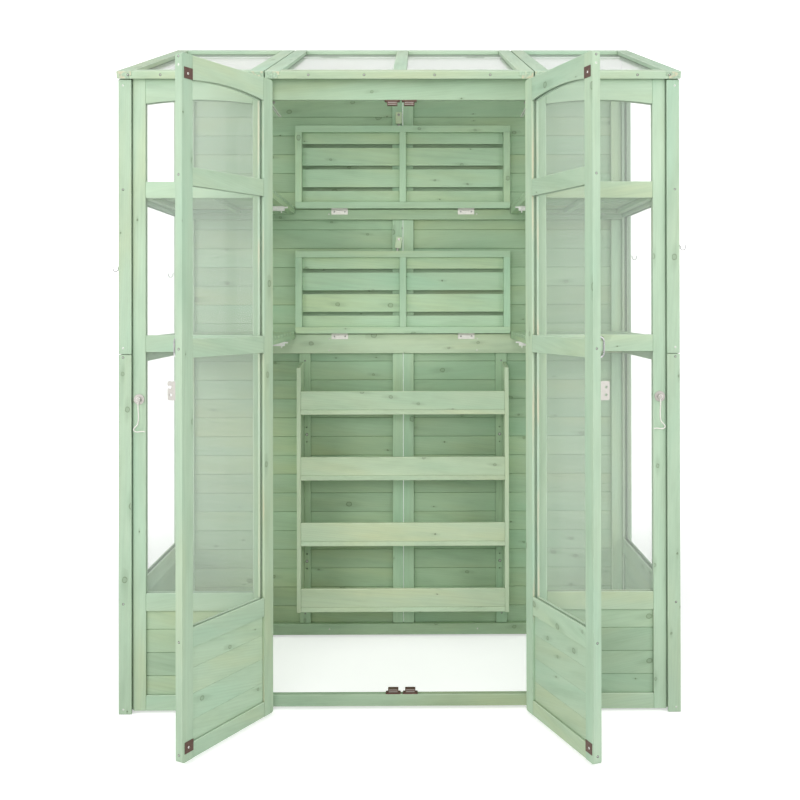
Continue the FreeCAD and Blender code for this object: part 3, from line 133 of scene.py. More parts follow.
woods = {
    "outsideWood": (0.458, 0.598, 0.440),
    # painted shade: the inside copy of the stain is darker, standing in for the dimmer light inside
    "insideWoodPaintedShade": (0.430, 0.590, 0.395),
    # painted shade: a darker copy of the stain for the header, sill and panel boards, standing in
    # for the shade they lie in
    "paintedShadeWood": (0.395, 0.530, 0.372),
    # the rack's paler stain, raised further as painted light
    "paleWoodPaintedLight": (0.600, 0.730, 0.520),
    # painted light: a lighter copy of the stain for the flaps and back uprights, standing in for
    # light they don't get
    "flapWoodPaintedLight": (0.500, 0.690, 0.480),
    "roofWood": (0.458, 0.598, 0.440),  # as outsideWood, with bare ends
}
patches = {
    "yellowed": (1.12, 0.98, 0.84),  # times the stain, as the other colours here
    "yellowedShare": 0.75,
    "cooler": (0.86, 0.97, 0.98),
    "coolerShare": 0.70,
    "thicker": (0.60, 0.66, 0.60),
    "thickerShare": 0.34,
    "thinner": (1.18, 1.12, 1.16),
    "thinnerShare": 0.35,
    "hueSpread": 0.06,  # how far whole pieces differ
    "toneSpread": 0.055,
}
rings = {
    "spacing": 0.0055,
    "pithAside": 0.020,
    "pithWanders": (0.030, 0.016),  # across and through the piece
    "wave": {"Distortion": 1.6, "Detail": 2.0, "Detail Scale": 0.6},
    "shade": 0.62,
    "shows": (0.02, 0.10),
    "fibreShade": 0.6,
    "fibreShows": 0.10,
}
knots = {
    "colour": (0.085, 0.115, 0.050),
    "spacing": 0.115,
    "share": 0.52,  # of the places that have one
    "smallest": 0.0016,
    "spread": 0.0062,
    "mostlySmall": 1.9,  # over 1 gives more small ones
    "wobble": 0.0030,
    "smear": (0.42, 0.46, 0.38),
    "smearShare": 0.24,
    "coreShare": (0.66, 0.22),  # of the small and of the large ones
    "rimShare": 0.50,
}
wearAndShade = {
    "rawWood": (0.760, 0.610, 0.420),
    "endShade": 0.74,
    "bareEnd": 0.5,
    "bareFace": 0.45,
    # rubbed: rounded edges made lighter, partly rubbed wear and partly a painted highlight
    "rubbed": (1.32, 1.20, 1.30),
    "rubbedShare": (0.25, 0.85),
    # corner: the colour of the dark joint lines and of the painted shade near other surfaces
    "corner": (0.22, 0.30, 0.18),
    "cornerShare": 0.62,
    "cornerReach": 0.006,  # how near to another surface the painted shade reaches
}
grainFinish = {
    "roughness": (0.56, 0.72),
    "gloss": 0.3,
    "bump": 0.25,
    "bumpDepth": 0.0006,
}


def stainPatches(s, grain, tint):
    # stain that went on warmer, cooler, thicker and thinner in places
    warm = s.noise(s.stretch(grain, (1.7, 8.0, 8.0)), 3.0, 0.55)
    warm = s.math("MULTIPLY_ADD", s.read("pieceHue"), patches["hueSpread"], warm)
    cloudy = s.noise(s.stretch(grain, (5.0, 26.0, 26.0)), 4.0, 0.6)
    colour = tint
    for field, low, high, look in (
        (warm, 0.46, 0.76, "yellowed"),
        (warm, 0.50, 0.24, "cooler"),
        (cloudy, 0.42, 0.78, "thicker"),
        (cloudy, 0.46, 0.22, "thinner"),
    ):
        share = s.ramp(field, low, high, 0.0, patches[look + "Share"])
        colour = s.blend(share, colour, shaded(tint, *patches[look]))
    return colour


def growthRings(s, grain, tint, colour, fibres):
    # rings round a pith outside the piece, and the fibres along it
    drift = s.noise(s.stretch(grain, (1.1, 3.0, 3.0)))
    across = s.math("MULTIPLY_ADD", drift, rings["pithWanders"][0], rings["pithAside"])
    through = s.math("MULTIPLY", drift, rings["pithWanders"][1])
    bent = s.add("ShaderNodeCombineXYZ", {"X": 0.0, "Y": across, "Z": through}).outputs[0]
    place = s.vector("ADD", {0: s.stretch(grain, (0.02, 1, 1)), 1: bent})
    scale = 2 * math.pi / (20 * rings["spacing"])
    wave = s.add(
        "ShaderNodeTexWave",
        {"Vector": place, "Scale": scale, **rings["wave"]},
        wave_type="RINGS",
        rings_direction="X",
    )
    late = s.ramp(wave.outputs["Fac"], 0.45, 0.95)
    shows = s.ramp(s.noise(s.stretch(grain, (3.0, 12.0, 12.0))), 0.35, 0.65, *rings["shows"])
    colour = s.blend(s.math("MULTIPLY", late, shows), colour, shaded(tint, rings["shade"]))
    threads = s.ramp(fibres, 0.35, 0.72, 0.0, rings["fibreShows"])
    return s.blend(threads, colour, shaded(tint, rings["fibreShade"])), late


def addKnots(s, grain, tint, colour):
    # knots go through the thickness, so they are laid out along and across only
    split = s.add("ShaderNodeSeparateXYZ", {0: grain}).outputs
    flat = s.add("ShaderNodeCombineXYZ", {"X": split[0], "Y": split[1], "Z": 0.0}).outputs[0]
    cells = s.add(
        "ShaderNodeTexVoronoi",
        {"Vector": flat, "Scale": 1 / knots["spacing"], "Randomness": 1.0},
        voronoi_dimensions="2D",
        feature="F1",
    ).outputs
    picked = s.add("ShaderNodeSeparateColor", {0: cells["Color"]}).outputs
    present = s.ramp(picked[0], 1 - knots["share"], 1.01 - knots["share"])
    present = s.math("MULTIPLY", present, s.read("broadFace"))
    size = s.math("POWER", picked[1], knots["mostlySmall"])
    radius = s.math("MULTIPLY_ADD", size, knots["spread"], knots["smallest"])
    wobble = s.noise(s.stretch(grain, (170.0, 170.0, 170.0)), 1.0)
    offset = s.vector("SUBTRACT", {0: flat, 1: cells["Position"]})

    def distance(scale):
        # from the knot's middle, in knot radii
        away = s.vector("LENGTH", {0: s.stretch(offset, scale)}, "Value")
        uneven = s.math("MULTIPLY_ADD", wobble, knots["wobble"], -knots["wobble"] / 2)
        return s.math("DIVIDE", s.math("ADD", away, uneven), radius)

    smear = s.math("MULTIPLY", s.ramp(distance((0.30, 1.15, 0.0)), 0.6, 2.6, 1.0, 0.0), present)
    smear = s.math("MULTIPLY", smear, knots["smearShare"])
    colour = s.blend(smear, colour, shaded(tint, *knots["smear"]))
    ratio = distance((0.8, 1.0, 0.0))
    core = s.math("MULTIPLY", s.ramp(ratio, 0.55, 1.15, 1.0, 0.0), present)
    coreShare = s.ramp(size, 0.04, 0.30, *knots["coreShare"])
    colour = s.blend(s.math("MULTIPLY", core, coreShare), colour, knots["colour"])
    rim = s.ramp(s.math("ABSOLUTE", s.math("SUBTRACT", ratio, 0.95)), 0.04, 0.26, 1.0, 0.0)
    rim = s.math("MULTIPLY", rim, present)
    return s.blend(s.math("MULTIPLY", rim, knots["rimShare"]), colour, knots["colour"]), rim


def addWearAndPaintedShade(s, grain, tint, colour, bareEnds):
    # end grain, sides that the brush missed, rubbed edges with a painted highlight, dark joint
    # lines, and painted shade darkening the corners
    mottle = s.noise(s.stretch(grain, (200.0, 200.0, 200.0)), 3.0, 0.6)
    endColour = s.blend(s.ramp(mottle, 0.35, 0.65), shaded(tint, wearAndShade["endShade"]), tint)
    if bareEnds:
        bare = s.noise(s.stretch(grain, (60.0, 60.0, 60.0)))
        bare = s.ramp(bare, 0.47, 0.60, 0.0, wearAndShade["bareEnd"])
        endColour = s.blend(bare, endColour, wearAndShade["rawWood"])
    colour = s.blend(s.read("endGrain"), colour, endColour)
    missed = s.ramp(s.noise(s.stretch(grain, (6.0, 30.0, 30.0))), 0.46, 0.66, 0.0, wearAndShade["bareFace"])
    colour = s.blend(s.math("MULTIPLY", s.read("rawFace"), missed), colour, wearAndShade["rawWood"])
    reach = {"Distance": wearAndShade["cornerReach"]}
    near = s.add("ShaderNodeAmbientOcclusion", reach, samples=6).outputs["AO"]
    # open rounded edges: patchy rubbed wear with a painted highlight, kept off where the painted
    # shade lies
    rubbed = s.ramp(s.noise(s.stretch(grain, (14.0, 60.0, 60.0))), 0.34, 0.60, *wearAndShade["rubbedShare"])
    rubbed = s.math("MULTIPLY", rubbed, s.ramp(near, 0.80, 0.97))
    rubbed = s.math("MULTIPLY", s.read("wornAndHighlitEdge"), rubbed)
    colour = s.blend(rubbed, colour, shaded(tint, *wearAndShade["rubbed"]))
    # painted shade where another surface is near, from ambient occlusion, together with the dark
    # joint lines
    joint = s.math("MULTIPLY", s.read("jointEdge"), wearAndShade["cornerShare"])
    jointsAndPaintedShade = s.math("MAXIMUM", s.ramp(near, 0.20, 0.86, wearAndShade["cornerShare"], 0.0), joint)
    return s.blend(jointsAndPaintedShade, colour, shaded(tint, *wearAndShade["corner"]))


def stainedWood(name, tint):
    s = Shader(name)
    grain = s.read("grainPos", "Vector")
    fibres = s.noise(s.stretch(grain, (9.0, 420.0, 420.0)), 2.0, 0.6)
    colour = stainPatches(s, grain, tint)
    colour, late = growthRings(s, grain, tint, colour, fibres)
    colour, rim = addKnots(s, grain, tint, colour)
    brighter = s.math("MULTIPLY_ADD", s.read("pieceTone"), patches["toneSpread"], 1.0)
    colour = s.vector("SCALE", {0: colour, "Scale": brighter})
    colour = addWearAndPaintedShade(s, grain, tint, colour, name == "roofWood")
    height = s.math("ADD", s.math("MULTIPLY", fibres, 0.6), s.math("MULTIPLY", late, -0.25))
    height = s.math("ADD", height, s.math("MULTIPLY", rim, -0.6))
    s.finish(
        BaseColor=colour,
        Roughness=s.line(fibres, 0.3, 0.7, *grainFinish["roughness"]),
        Normal=s.bump(height, grainFinish["bump"], grainFinish["bumpDepth"]),
        SpecularIORLevel=grainFinish["gloss"],
    )
    return s.material


# Clear sheets and metals

# the whitish opacity is partly haze and partly painted reflection of the bright studio; on the roof
# it is mostly painted glare
sheets = {
    "wallSheet": {"colour": (0.80, 0.86, 0.81), "opacity": 0.13, "rough": 0.05},
    "doorSheet": {"colour": (0.80, 0.88, 0.82), "opacity": 0.05, "rough": 0.05},
    "roofSheet": {"colour": (0.87, 0.88, 0.87), "opacity": 0.47, "rough": 0.08},
}
# colour, worn colour, how metallic, roughness, how worn
metals = {
    "zinc": ((0.400, 0.385, 0.355), (0.36, 0.35, 0.33), 0.70, 0.36, 0.35),
    # partly painted reflection: zinc made pale and less metallic, standing in for its reflection of
    # the white studio
    "whiteZinc": ((0.680, 0.665, 0.615), (0.50, 0.49, 0.46), 0.35, 0.40, 0.45),
    # painted highlight: near white and hardly metallic, standing in for the shine of zinc in a
    # white studio
    "brightZinc": ((0.900, 0.890, 0.860), (0.55, 0.54, 0.50), 0.15, 0.35, 0.30),
    "chrome": ((0.340, 0.340, 0.340), (0.22, 0.22, 0.21), 0.95, 0.16, 0.25),
    # painted shade: a dark disc and dark slots standing in for the shade in screw holes and cross
    # slots
    "recess": ((0.055, 0.065, 0.045), (0.03, 0.03, 0.03), 0.10, 0.70, 0.20),
    "steel": ((0.300, 0.280, 0.250), (0.16, 0.12, 0.09), 0.60, 0.38, 0.40),
    "bronze": ((0.090, 0.040, 0.028), (0.24, 0.15, 0.11), 0.25, 0.42, 0.35),
}


def sheetMaterial(name, colour, opacity, rough):
    # clear plastic sheet with a faint even haze; its whitish opacity is partly painted reflection
    s = Shader(name)
    place = s.add("ShaderNodeTexCoord").outputs["Object"]
    dust = s.noise(s.stretch(place, (2.0, 2.0, 1.6)), 3.0)
    s.finish(
        BaseColor=s.blend(dust, shaded(colour, 0.97), shaded(colour, 1.03)),
        Roughness=s.line(dust, 0.3, 0.7, rough, rough + 0.04),
        Alpha=s.line(dust, 0.3, 0.8, opacity * 0.93, opacity * 1.07),
        IOR=1.49,
    )
    return s.material


def metalMaterial(name, colour, wornColour, metallic, rough, worn):
    s = Shader(name)
    place = s.add("ShaderNodeTexCoord").outputs["Object"]
    spangle = s.noise(s.stretch(place, (220.0, 220.0, 220.0)), 3.0, 0.55)
    rubbed = s.ramp(s.noise(s.stretch(place, (90.0, 90.0, 90.0)), 4.0, 0.65), 0.52, 0.72, 0.0, worn)
    mottled = s.blend(s.ramp(spangle, 0.35, 0.70, 0.0, 0.35), colour, shaded(colour, 0.8))
    s.finish(
        BaseColor=s.blend(rubbed, mottled, wornColour),
        Roughness=s.line(spangle, 0.3, 0.7, rough, rough + 0.14),
        Normal=s.bump(spangle, 0.08, 0.0002),
        Metallic=metallic,
    )
    return s.material


finishes = {name: stainedWood(name, tint) for name, tint in woods.items()}
for name, look in sheets.items():
    finishes[name] = sheetMaterial(name, **look)
for name, look in metals.items():
    finishes[name] = metalMaterial(name, *look)
print("materials made:", len(finishes))


# Pieces made from the CAD solids, each solid with its own grain, tone and fine rounded edges

dressing = {
    "weld": 1e-5,  # corners this near are one
    "flat": math.radians(0.6),  # faces this near to level with each other become one
    "sharp": 0.6,  # an edge's angle from which it is rounded
    "along": 0.9,  # how squarely an end faces along the grain
    "beside": 0.3,  # the most that a side does
    "broad": 0.6,  # how squarely a broad face faces away from the thickness
    "grainShift": (40, 3, 3),  # the most, along, across and through
    "firstSeed": 12,
}
layers = {
    "grainPos": ("POINT", "FLOAT_VECTOR"),
    "pieceTone": ("POINT", "FLOAT"),
    "pieceHue": ("POINT", "FLOAT"),
    "wornAndHighlitEdge": ("FACE", "FLOAT"),
    "jointEdge": ("FACE", "FLOAT"),
    "endGrain": ("FACE", "FLOAT"),
    "rawFace": ("FACE", "FLOAT"),
    "broadFace": ("FACE", "FLOAT"),
}


def trianglesOf(mesh):
    mesh.calc_loop_triangles()
    points = np.empty(len(mesh.vertices) * 3)
    mesh.vertices.foreach_get("co", points)
    corners = np.empty(len(mesh.loop_triangles) * 3, dtype=np.int64)
    mesh.loop_triangles.foreach_get("vertices", corners)
    rounded = np.round(points.reshape(-1, 3) / dressing["weld"]).astype(np.int64)
    spots, index = np.unique(rounded, axis=0, return_inverse=True)
    return spots * dressing["weld"], index.reshape(-1)[corners].reshape(-1, 3)


def solidsOf(mesh):
    # triangles come solid by solid, so a solid ends where no edge is left open
    spots, triangles = trianglesOf(mesh)
    unmatched, solid = set(), []
    for corner in triangles:
        if len(set(corner)) < 3:
            continue
        solid.append(corner)
        for i in range(3):
            a, b = corner[i], corner[(i + 1) % 3]
            if (b, a) in unmatched:
                unmatched.discard((b, a))
            else:
                unmatched.add((a, b))
        if not unmatched:
            yield spots, solid
            solid = []


def neighbours(names):
    # every solid's surface, and which solid each triangle belongs to
    spots, triangles, owners = [], [], []
    for name in names:
        for number, (points, corners) in enumerate(solidsOf(frame["nodes"][name].data)):
            base = len(spots)
            ids = sorted({c for corner in corners for c in corner})
            place = {c: base + i for i, c in enumerate(ids)}
            spots.extend(points[ids].tolist())
            triangles.extend([place[c] for c in corner] for corner in corners)
            owners.extend([(name, number)] * len(corners))
    return BVHTree.FromPolygons(spots, triangles), owners


def isJoint(face, own, width):
    # true where a rounded edge lies against another solid for most of its length
    middle = face.calc_center_median()
    far = max((v.co for v in face.verts), key=lambda co: (co - middle).length)
    for share in (-0.7, 0.0, 0.7):
        near = allSurfaces.find_nearest_range(middle + (far - middle) * share, width * 0.75)
        if not any(surfaceOwners[hit[2]] != own for hit in near):
            return False
    return True


def meshOf(spots, triangles, reshape):
    # one solid, with level faces joined
    bm = bmesh.new()
    made = {}
    for corner in triangles:
        for c in corner:
            if c not in made:
                made[c] = bm.verts.new(spots[c])
        bm.faces.new([made[c] for c in corner])
    if reshape:
        for v in bm.verts:
            reshape(v.co)
    bmesh.ops.dissolve_limit(bm, angle_limit=dressing["flat"], verts=bm.verts[:], edges=bm.edges[:])
    return bm


def grainWays(bm):
    # along the longest edge, across, and out of the broadest side
    longest = max(bm.edges, key=lambda e: e.calc_length())
    along = (longest.verts[1].co - longest.verts[0].co).normalized()
    sides = [f for f in bm.faces if abs(f.normal.dot(along)) < dressing["beside"]]
    broad = max(sides, key=lambda f: f.calc_area()).normal.copy()
    across = along.cross(broad).normalized()
    return along, across, across.cross(along).normalized()


def roundedEdges(bm, width):
    if not width:
        return set()
    closed = [e for e in bm.edges if len(e.link_faces) == 2]
    sharp = [e for e in closed if e.calc_face_angle() > dressing["sharp"]]
    result = bmesh.ops.bevel(
        bm, geom=sharp, offset=width, segments=1, profile=0.5, affect="EDGES", clamp_overlap=True
    )
    return set(result["faces"])


def dress(nodeName, finish, width, seed, rawTest=None, pick=None, reshape=None):
    # rawTest marks faces left bare; pick gives a solid of the node another finish
    vertices, faces, used, slots = [], [], [finish], []
    values = {label: [] for label in layers}
    draw = random.Random(seed)
    for number, (spots, triangles) in enumerate(solidsOf(frame["nodes"][nodeName].data)):
        bm = meshOf(spots, triangles, reshape)
        along, across, broad = grainWays(bm)
        corners = np.array([v.co[:] for v in bm.verts])
        low, high = corners.min(axis=0), corners.max(axis=0)
        centre = Vector((low + high) / 2)
        isEdge = roundedEdges(bm, width)
        shift = Vector([draw.uniform(-most, most) for most in dressing["grainShift"]])
        tone, hue = draw.uniform(-1, 1), draw.uniform(-1, 1)
        own = (pick and pick(low, high)) or finish
        if own not in used:
            used.append(own)
        base = len(vertices)
        bm.verts.index_update()
        for v in bm.verts:
            vertices.append(v.co[:])
            local = v.co - centre
            place = Vector((local.dot(along), local.dot(across), local.dot(broad))) + shift
            values["grainPos"].extend(place[:])
            values["pieceTone"].append(tone)
            values["pieceHue"].append(hue)
        for f in bm.faces:
            plain = f not in isEdge
            joint = not plain and isJoint(f, (nodeName, number), width)
            values["jointEdge"].append(joint)
            values["wornAndHighlitEdge"].append(not (plain or joint))
            values["endGrain"].append(plain and abs(f.normal.dot(along)) > dressing["along"])
            values["rawFace"].append(bool(plain and rawTest and rawTest(f, along)))
            values["broadFace"].append(abs(f.normal.dot(broad)) > dressing["broad"])
            faces.append([base + v.index for v in f.verts])
            slots.append(used.index(own))
        bm.free()
    mesh = bpy.data.meshes.new(nodeName + "Dressed")
    mesh.from_pydata(vertices, [], faces)
    for label, (domain, kind) in layers.items():
        layer = mesh.attributes.new(label, kind, domain)
        key = "vector" if kind == "FLOAT_VECTOR" else "value"
        layer.data.foreach_set(key, np.array(values[label], dtype=float))
    for name in used:
        mesh.materials.append(finishes[name])
    mesh.polygons.foreach_set("material_index", slots)
    mesh.update()
    piece = bpy.data.objects.new(nodeName + "Dressed", mesh)
    bpy.context.scene.collection.objects.link(piece)
    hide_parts(nodeName)
    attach(piece, nodeBodies[nodeName])


doors = {
    "left": {"pin": (-0.358, -0.17973), "angle": -118.7, "sign": 1},
    "right": {"pin": (0.358, -0.17973), "angle": 110.3, "sign": -1},
    "reach": 0.3565,  # pin to free edge
    "middle": 0.01375,  # pin to the middle of the thickness
    "half": 0.18,
    "glassReach": (0.02, 0.34),
    "glassHeight": (0.322, 1.655),
    "groove": (0.0095, 0.0180),  # the glass groove lies between these depths
}
windows = {"edge": (0.67, 0.69), "top": 1.64}  # the front frames' stile edges beside the glass
frontTop = {"from": 1.692, "lift": 0.0042, "back": 0.1747, "slope": 0.32}
thin = {"plate": 0.003, "tip": 0.009}  # thinner solids of a node are its metal
rackRail = (0.9, 1.1)


def doorWays(side):
    # directions towards the free edge and inwards
    turn = math.radians(doors[side]["angle"])
    outwards = Vector((math.cos(turn), math.sin(turn), 0)) * doors[side]["sign"]
    inwards = Vector((-math.sin(turn), math.cos(turn), 0))
    return outwards, inwards


def doorPoint(side, u, v, z):
    outwards, inwards = doorWays(side)
    return Vector((*doors[side]["pin"], z)) + outwards * u + inwards * v


def within(value, limits):
    return limits[0] < value < limits[1]


def bareDoorEdge(side):
    # the brush missed parts of the stile edges beside the glass
    outwards, inwards = doorWays(side)
    origin = Vector((*doors[side]["pin"], 0))

    def test(face, along):
        spot = face.calc_center_median()
        reach, depth = (spot - origin).dot(outwards), (spot - origin).dot(inwards)
        towards = face.normal.dot(outwards) * (1 if reach < doors["half"] else -1)
        beside = depth < doors["groove"][0] or depth > doors["groove"][1]
        glazed = within(reach, doors["glassReach"]) and within(spot.z, doors["glassHeight"])
        return towards > dressing["along"] and beside and glazed

    return test


def bareWindowEdge(face, along):
    spot = face.calc_center_median()
    upright = abs(face.normal.x) > dressing["along"] and abs(along.z) > dressing["along"]
    return upright and within(abs(spot.x), windows["edge"]) and spot.z < windows["top"]


def slopedTop(co):
    # the front frames' top edge follows the roof's slope, a little below it
    if co.z > frontTop["from"]:
        co.z += frontTop["lift"] + (co.y + frontTop["back"]) * frontTop["slope"]


def catchMetal(low, high):
    return "steel" if high[2] - low[2] < thin["plate"] else None


def buttonMetal(low, high):
    return "zinc" if high[0] - low[0] < thin["tip"] else None


def railLitOrShadedCopy(low, high):
    # only the rail above the rack keeps the rack's paler wood with its painted light; the others
    # get the inside wood's painted shade
    return None if within(high[2], rackRail) else "insideWoodPaintedShade"


roundings = {"frame": 0.0011, "lath": 0.0008, "lip": 0.0014, "fitting": 0.0003, "board": 0.0}
dressed = (
    ("front_left_frame", "outsideWood", "frame"),
    ("front_right_frame", "outsideWood", "frame"),
    ("door_header", "paintedShadeWood", "frame"),
    ("door_sill", "paintedShadeWood", "frame"),
    ("side_left_frame", "outsideWood", "frame"),
    ("side_right_frame", "outsideWood", "frame"),
    ("corner_strips", "outsideWood", "frame"),
    ("left_door_frame", "outsideWood", "frame"),
    ("right_door_frame", "outsideWood", "frame"),
    ("panel_boards", "paintedShadeWood", "board"),
    ("left_door_boards", "outsideWood", "board"),
    ("right_door_boards", "outsideWood", "board"),
    ("roof_left_frame", "roofWood", "frame"),
    ("roof_right_frame", "roofWood", "frame"),
    ("vent_frame", "roofWood", "frame"),
    ("back_boards", "insideWoodPaintedShade", "board"),
    ("back_rails", "paleWoodPaintedLight", "frame"),
    ("back_uprights", "flapWoodPaintedLight", "frame"),
    ("rack_battens", "insideWoodPaintedShade", "lath"),
    ("rack_sides", "paleWoodPaintedLight", "lath"),
    ("rack_trays", "paleWoodPaintedLight", "lip"),
    ("rack_lips", "paleWoodPaintedLight", "lip"),
    ("upper_left_shelf", "insideWoodPaintedShade", "lath"),
    ("upper_right_shelf", "insideWoodPaintedShade", "lath"),
    ("lower_left_shelf", "insideWoodPaintedShade", "lath"),
    ("lower_right_shelf", "insideWoodPaintedShade", "lath"),
    ("upper_flap", "flapWoodPaintedLight", "lath"),
    ("lower_flap", "flapWoodPaintedLight", "lath"),
    # the turn buttons get the paler wood only as painted light, against the shade under the header
    ("upper_turn_button", "paleWoodPaintedLight", "fitting"),
    ("lower_turn_button", "paleWoodPaintedLight", "fitting"),
    ("magnetic_catches", "bronze", "fitting"),
)
special = {
    "front_left_frame": {"rawTest": bareWindowEdge, "reshape": slopedTop},
    "front_right_frame": {"rawTest": bareWindowEdge, "reshape": slopedTop},
    "left_door_frame": {"rawTest": bareDoorEdge("left")},
    "right_door_frame": {"rawTest": bareDoorEdge("right")},
    "back_rails": {"pick": railLitOrShadedCopy},
    "upper_turn_button": {"pick": buttonMetal},
    "lower_turn_button": {"pick": buttonMetal},
    "magnetic_catches": {"pick": catchMetal},
}
allSurfaces, surfaceOwners = neighbours([name for name, finish, edge in dressed])
for seed, (name, finish, edge) in enumerate(dressed, dressing["firstSeed"]):
    dress(name, finish, roundings[edge], seed, **special.get(name, {}))
print("wood dressed:", len(dressed))


# Sheets and metal keep their CAD shape and get their finish

slotFinishes = {
    "clear_sheet": "wallSheet",
    "roof_sheet": "roofSheet",
    "zinc": "zinc",
    "bronze_metal": "bronze",
}
ownFinishes = {
    ("door_glazing",): "doorSheet",
    ("cup_hooks", "door_handle"): "chrome",
    ("flap_hinges", "fixed_hinge_leaves", "cabin_hook"): "whiteZinc",
    # the stay and bolt get the painted highlight of the zinc
    ("vent_stay", "bolt"): "brightZinc",
}
for name, node in frame["nodes"].items():
    if node.hide_render:
        continue  # a dressed piece stands for it
    finish = slotFinishes.get(nodeSlots[name])
    for words, own in ownFinishes.items():
        if any(word in name for word in words):
            finish = own
    if finish:
        node.data.materials.clear()
        node.data.materials.append(finishes[finish])
print("sheets and metal finished")


# Screws and nails, set on the surfaces they go into

bright, sunk, hole = 0.0, 1.0, 2.0  # a screw's look: head alone, head in a rim of painted shade, rim of painted shade alone
screws = {
    "headRadius": 0.0028,
    "headHeight": 0.0008,
    "headTaper": 0.74,
    "rimRadius": 0.0034,  # the painted shade of the hole round a sunk screw
    "rimHeight": 0.00015,
    "rimTaper": 0.9,
    "crossWidth": 0.0008,
    "crossLength": 1.05,  # times the head's radius
    "crossDepth": 0.2,  # times the head's height
    "sunkSmaller": 0.32,
    "sides": 12,
    "seed": 5,
}
surfaces = {}


def seat(nodeName, start, direction):
    # the first surface of a node that a line meets
    if nodeName not in surfaces:
        spots, triangles = trianglesOf(frame["nodes"][nodeName].data)
        surfaces[nodeName] = BVHTree.FromPolygons(spots.tolist(), triangles.tolist())
    spot, normal = surfaces[nodeName].ray_cast(Vector(start), Vector(direction))[:2]
    if spot is None:
        raise ValueError(f"no surface for a screw in {nodeName} from {start}")
    return spot, normal if normal.dot(direction) < 0 else -normal


screwSockets = (
    ("Head Radius", "NodeSocketFloat", screws["headRadius"]),
    ("Head Height", "NodeSocketFloat", screws["headHeight"]),
    ("Rim Radius", "NodeSocketFloat", screws["rimRadius"]),
    ("Rim Height", "NodeSocketFloat", screws["rimHeight"]),
    ("Cross Width", "NodeSocketFloat", screws["crossWidth"]),
    ("Seed", "NodeSocketInt", screws["seed"]),
    # screw heads get the painted highlight of the zinc
    ("Head", "NodeSocketMaterial", finishes["brightZinc"]),
    ("Rim", "NodeSocketMaterial", finishes["recess"]),
)


def screwTree():
    tree = bpy.data.node_groups.new("screws", "GeometryNodeTree")
    tree.interface.new_socket(name="Geometry", in_out="INPUT", socket_type="NodeSocketGeometry")
    for label, kind, value in screwSockets:
        tree.interface.new_socket(name=label, in_out="INPUT", socket_type=kind)
    tree.interface.new_socket(name="Geometry", in_out="OUTPUT", socket_type="NodeSocketGeometry")
    given = tree.nodes.new("NodeGroupInput").outputs
    result = tree.nodes.new("NodeGroupOutput")

    def add(kind, inputs=None, **settings):
        return addNode(tree, kind, inputs, **settings)

    def times(a, b):
        return add("ShaderNodeMath", {0: a, 1: b}, operation="MULTIPLY").outputs[0]

    def join(*parts):
        node = add("GeometryNodeJoinGeometry")
        for part in parts:
            tree.links.new(part, node.inputs[0])
        return node.outputs[0]

    def disc(radius, height, taper):
        inputs = {"Vertices": screws["sides"], "Depth": height}
        inputs.update({"Radius Top": times(radius, taper), "Radius Bottom": radius})
        return add("GeometryNodeMeshCone", inputs).outputs["Mesh"]

    def marked(mesh):
        inputs = {"Geometry": mesh, "Name": "dark", "Value": True}
        kind = {"data_type": "BOOLEAN", "domain": "FACE"}
        return add("GeometryNodeStoreNamedAttribute", inputs, **kind).outputs[0]

    def inUse(node):
        return [socket for socket in node.outputs if socket.enabled][0]

    def named(name, kind):
        return inUse(add("GeometryNodeInputNamedAttribute", {"Name": name}, data_type=kind))

    head = disc(given["Head Radius"], given["Head Height"], screws["headTaper"])
    arm = times(given["Head Radius"], screws["crossLength"])
    depth = times(given["Head Height"], screws["crossDepth"])
    lift = add("ShaderNodeCombineXYZ", {"Z": given["Head Height"]}).outputs[0]
    bars = []
    for x, y in ((arm, given["Cross Width"]), (given["Cross Width"], arm)):
        size = add("ShaderNodeCombineXYZ", {"X": x, "Y": y, "Z": depth}).outputs[0]
        bar = add("GeometryNodeMeshCube", {"Size": size}).outputs["Mesh"]
        bars.append(add("GeometryNodeTransform", {"Geometry": bar, "Translation": lift}).outputs[0])
    # the cross slot and the rim are marked for the painted shade of their hollows
    whole = join(head, marked(join(*bars)))
    rim = marked(disc(given["Rim Radius"], given["Rim Height"], screws["rimTaper"]))

    look = named("look", "FLOAT")
    outOf = {"Vector": named("facing", "FLOAT_VECTOR")}
    facing = add("FunctionNodeAlignRotationToVector", outOf, axis="Z")
    angle = inUse(add("FunctionNodeRandomValue", {"Seed": given["Seed"]}, data_type="FLOAT"))
    turnBy = {"Axis": (0, 0, 1), "Angle": times(angle, math.tau)}
    spin = add("FunctionNodeAxisAngleToRotation", turnBy).outputs[0]
    both = {"Rotation": facing.outputs[0], "Rotate By": spin}
    turned = add("FunctionNodeRotateRotation", both, rotation_space="LOCAL").outputs[0]
    placings = []
    for shape, test, limit, smaller in (
        (whole, "LESS_THAN", (sunk + hole) / 2, screws["sunkSmaller"]),
        (rim, "GREATER_THAN", (bright + sunk) / 2, 0.0),
    ):
        chosen = add("FunctionNodeCompare", {0: look, 1: limit}, data_type="FLOAT", operation=test)
        share = add("ShaderNodeMath", {0: times(look, -smaller), 1: 1.0}, operation="ADD")
        inputs = {
            "Points": given["Geometry"],
            "Selection": chosen.outputs[0],
            "Instance": shape,
            "Rotation": turned,
            "Scale": times(named("size", "FLOAT"), share.outputs[0]),
        }
        placings.append(add("GeometryNodeInstanceOnPoints", inputs).outputs[0])
    solid = add("GeometryNodeRealizeInstances", {"Geometry": join(*placings)}).outputs[0]
    metal = add("GeometryNodeSetMaterial", {"Geometry": solid, "Material": given["Head"]})
    dark = {"Selection": named("dark", "BOOLEAN"), "Material": given["Rim"]}
    dark = add("GeometryNodeSetMaterial", {"Geometry": metal.outputs[0], **dark})
    tree.links.new(dark.outputs[0], result.inputs[0])
    return tree


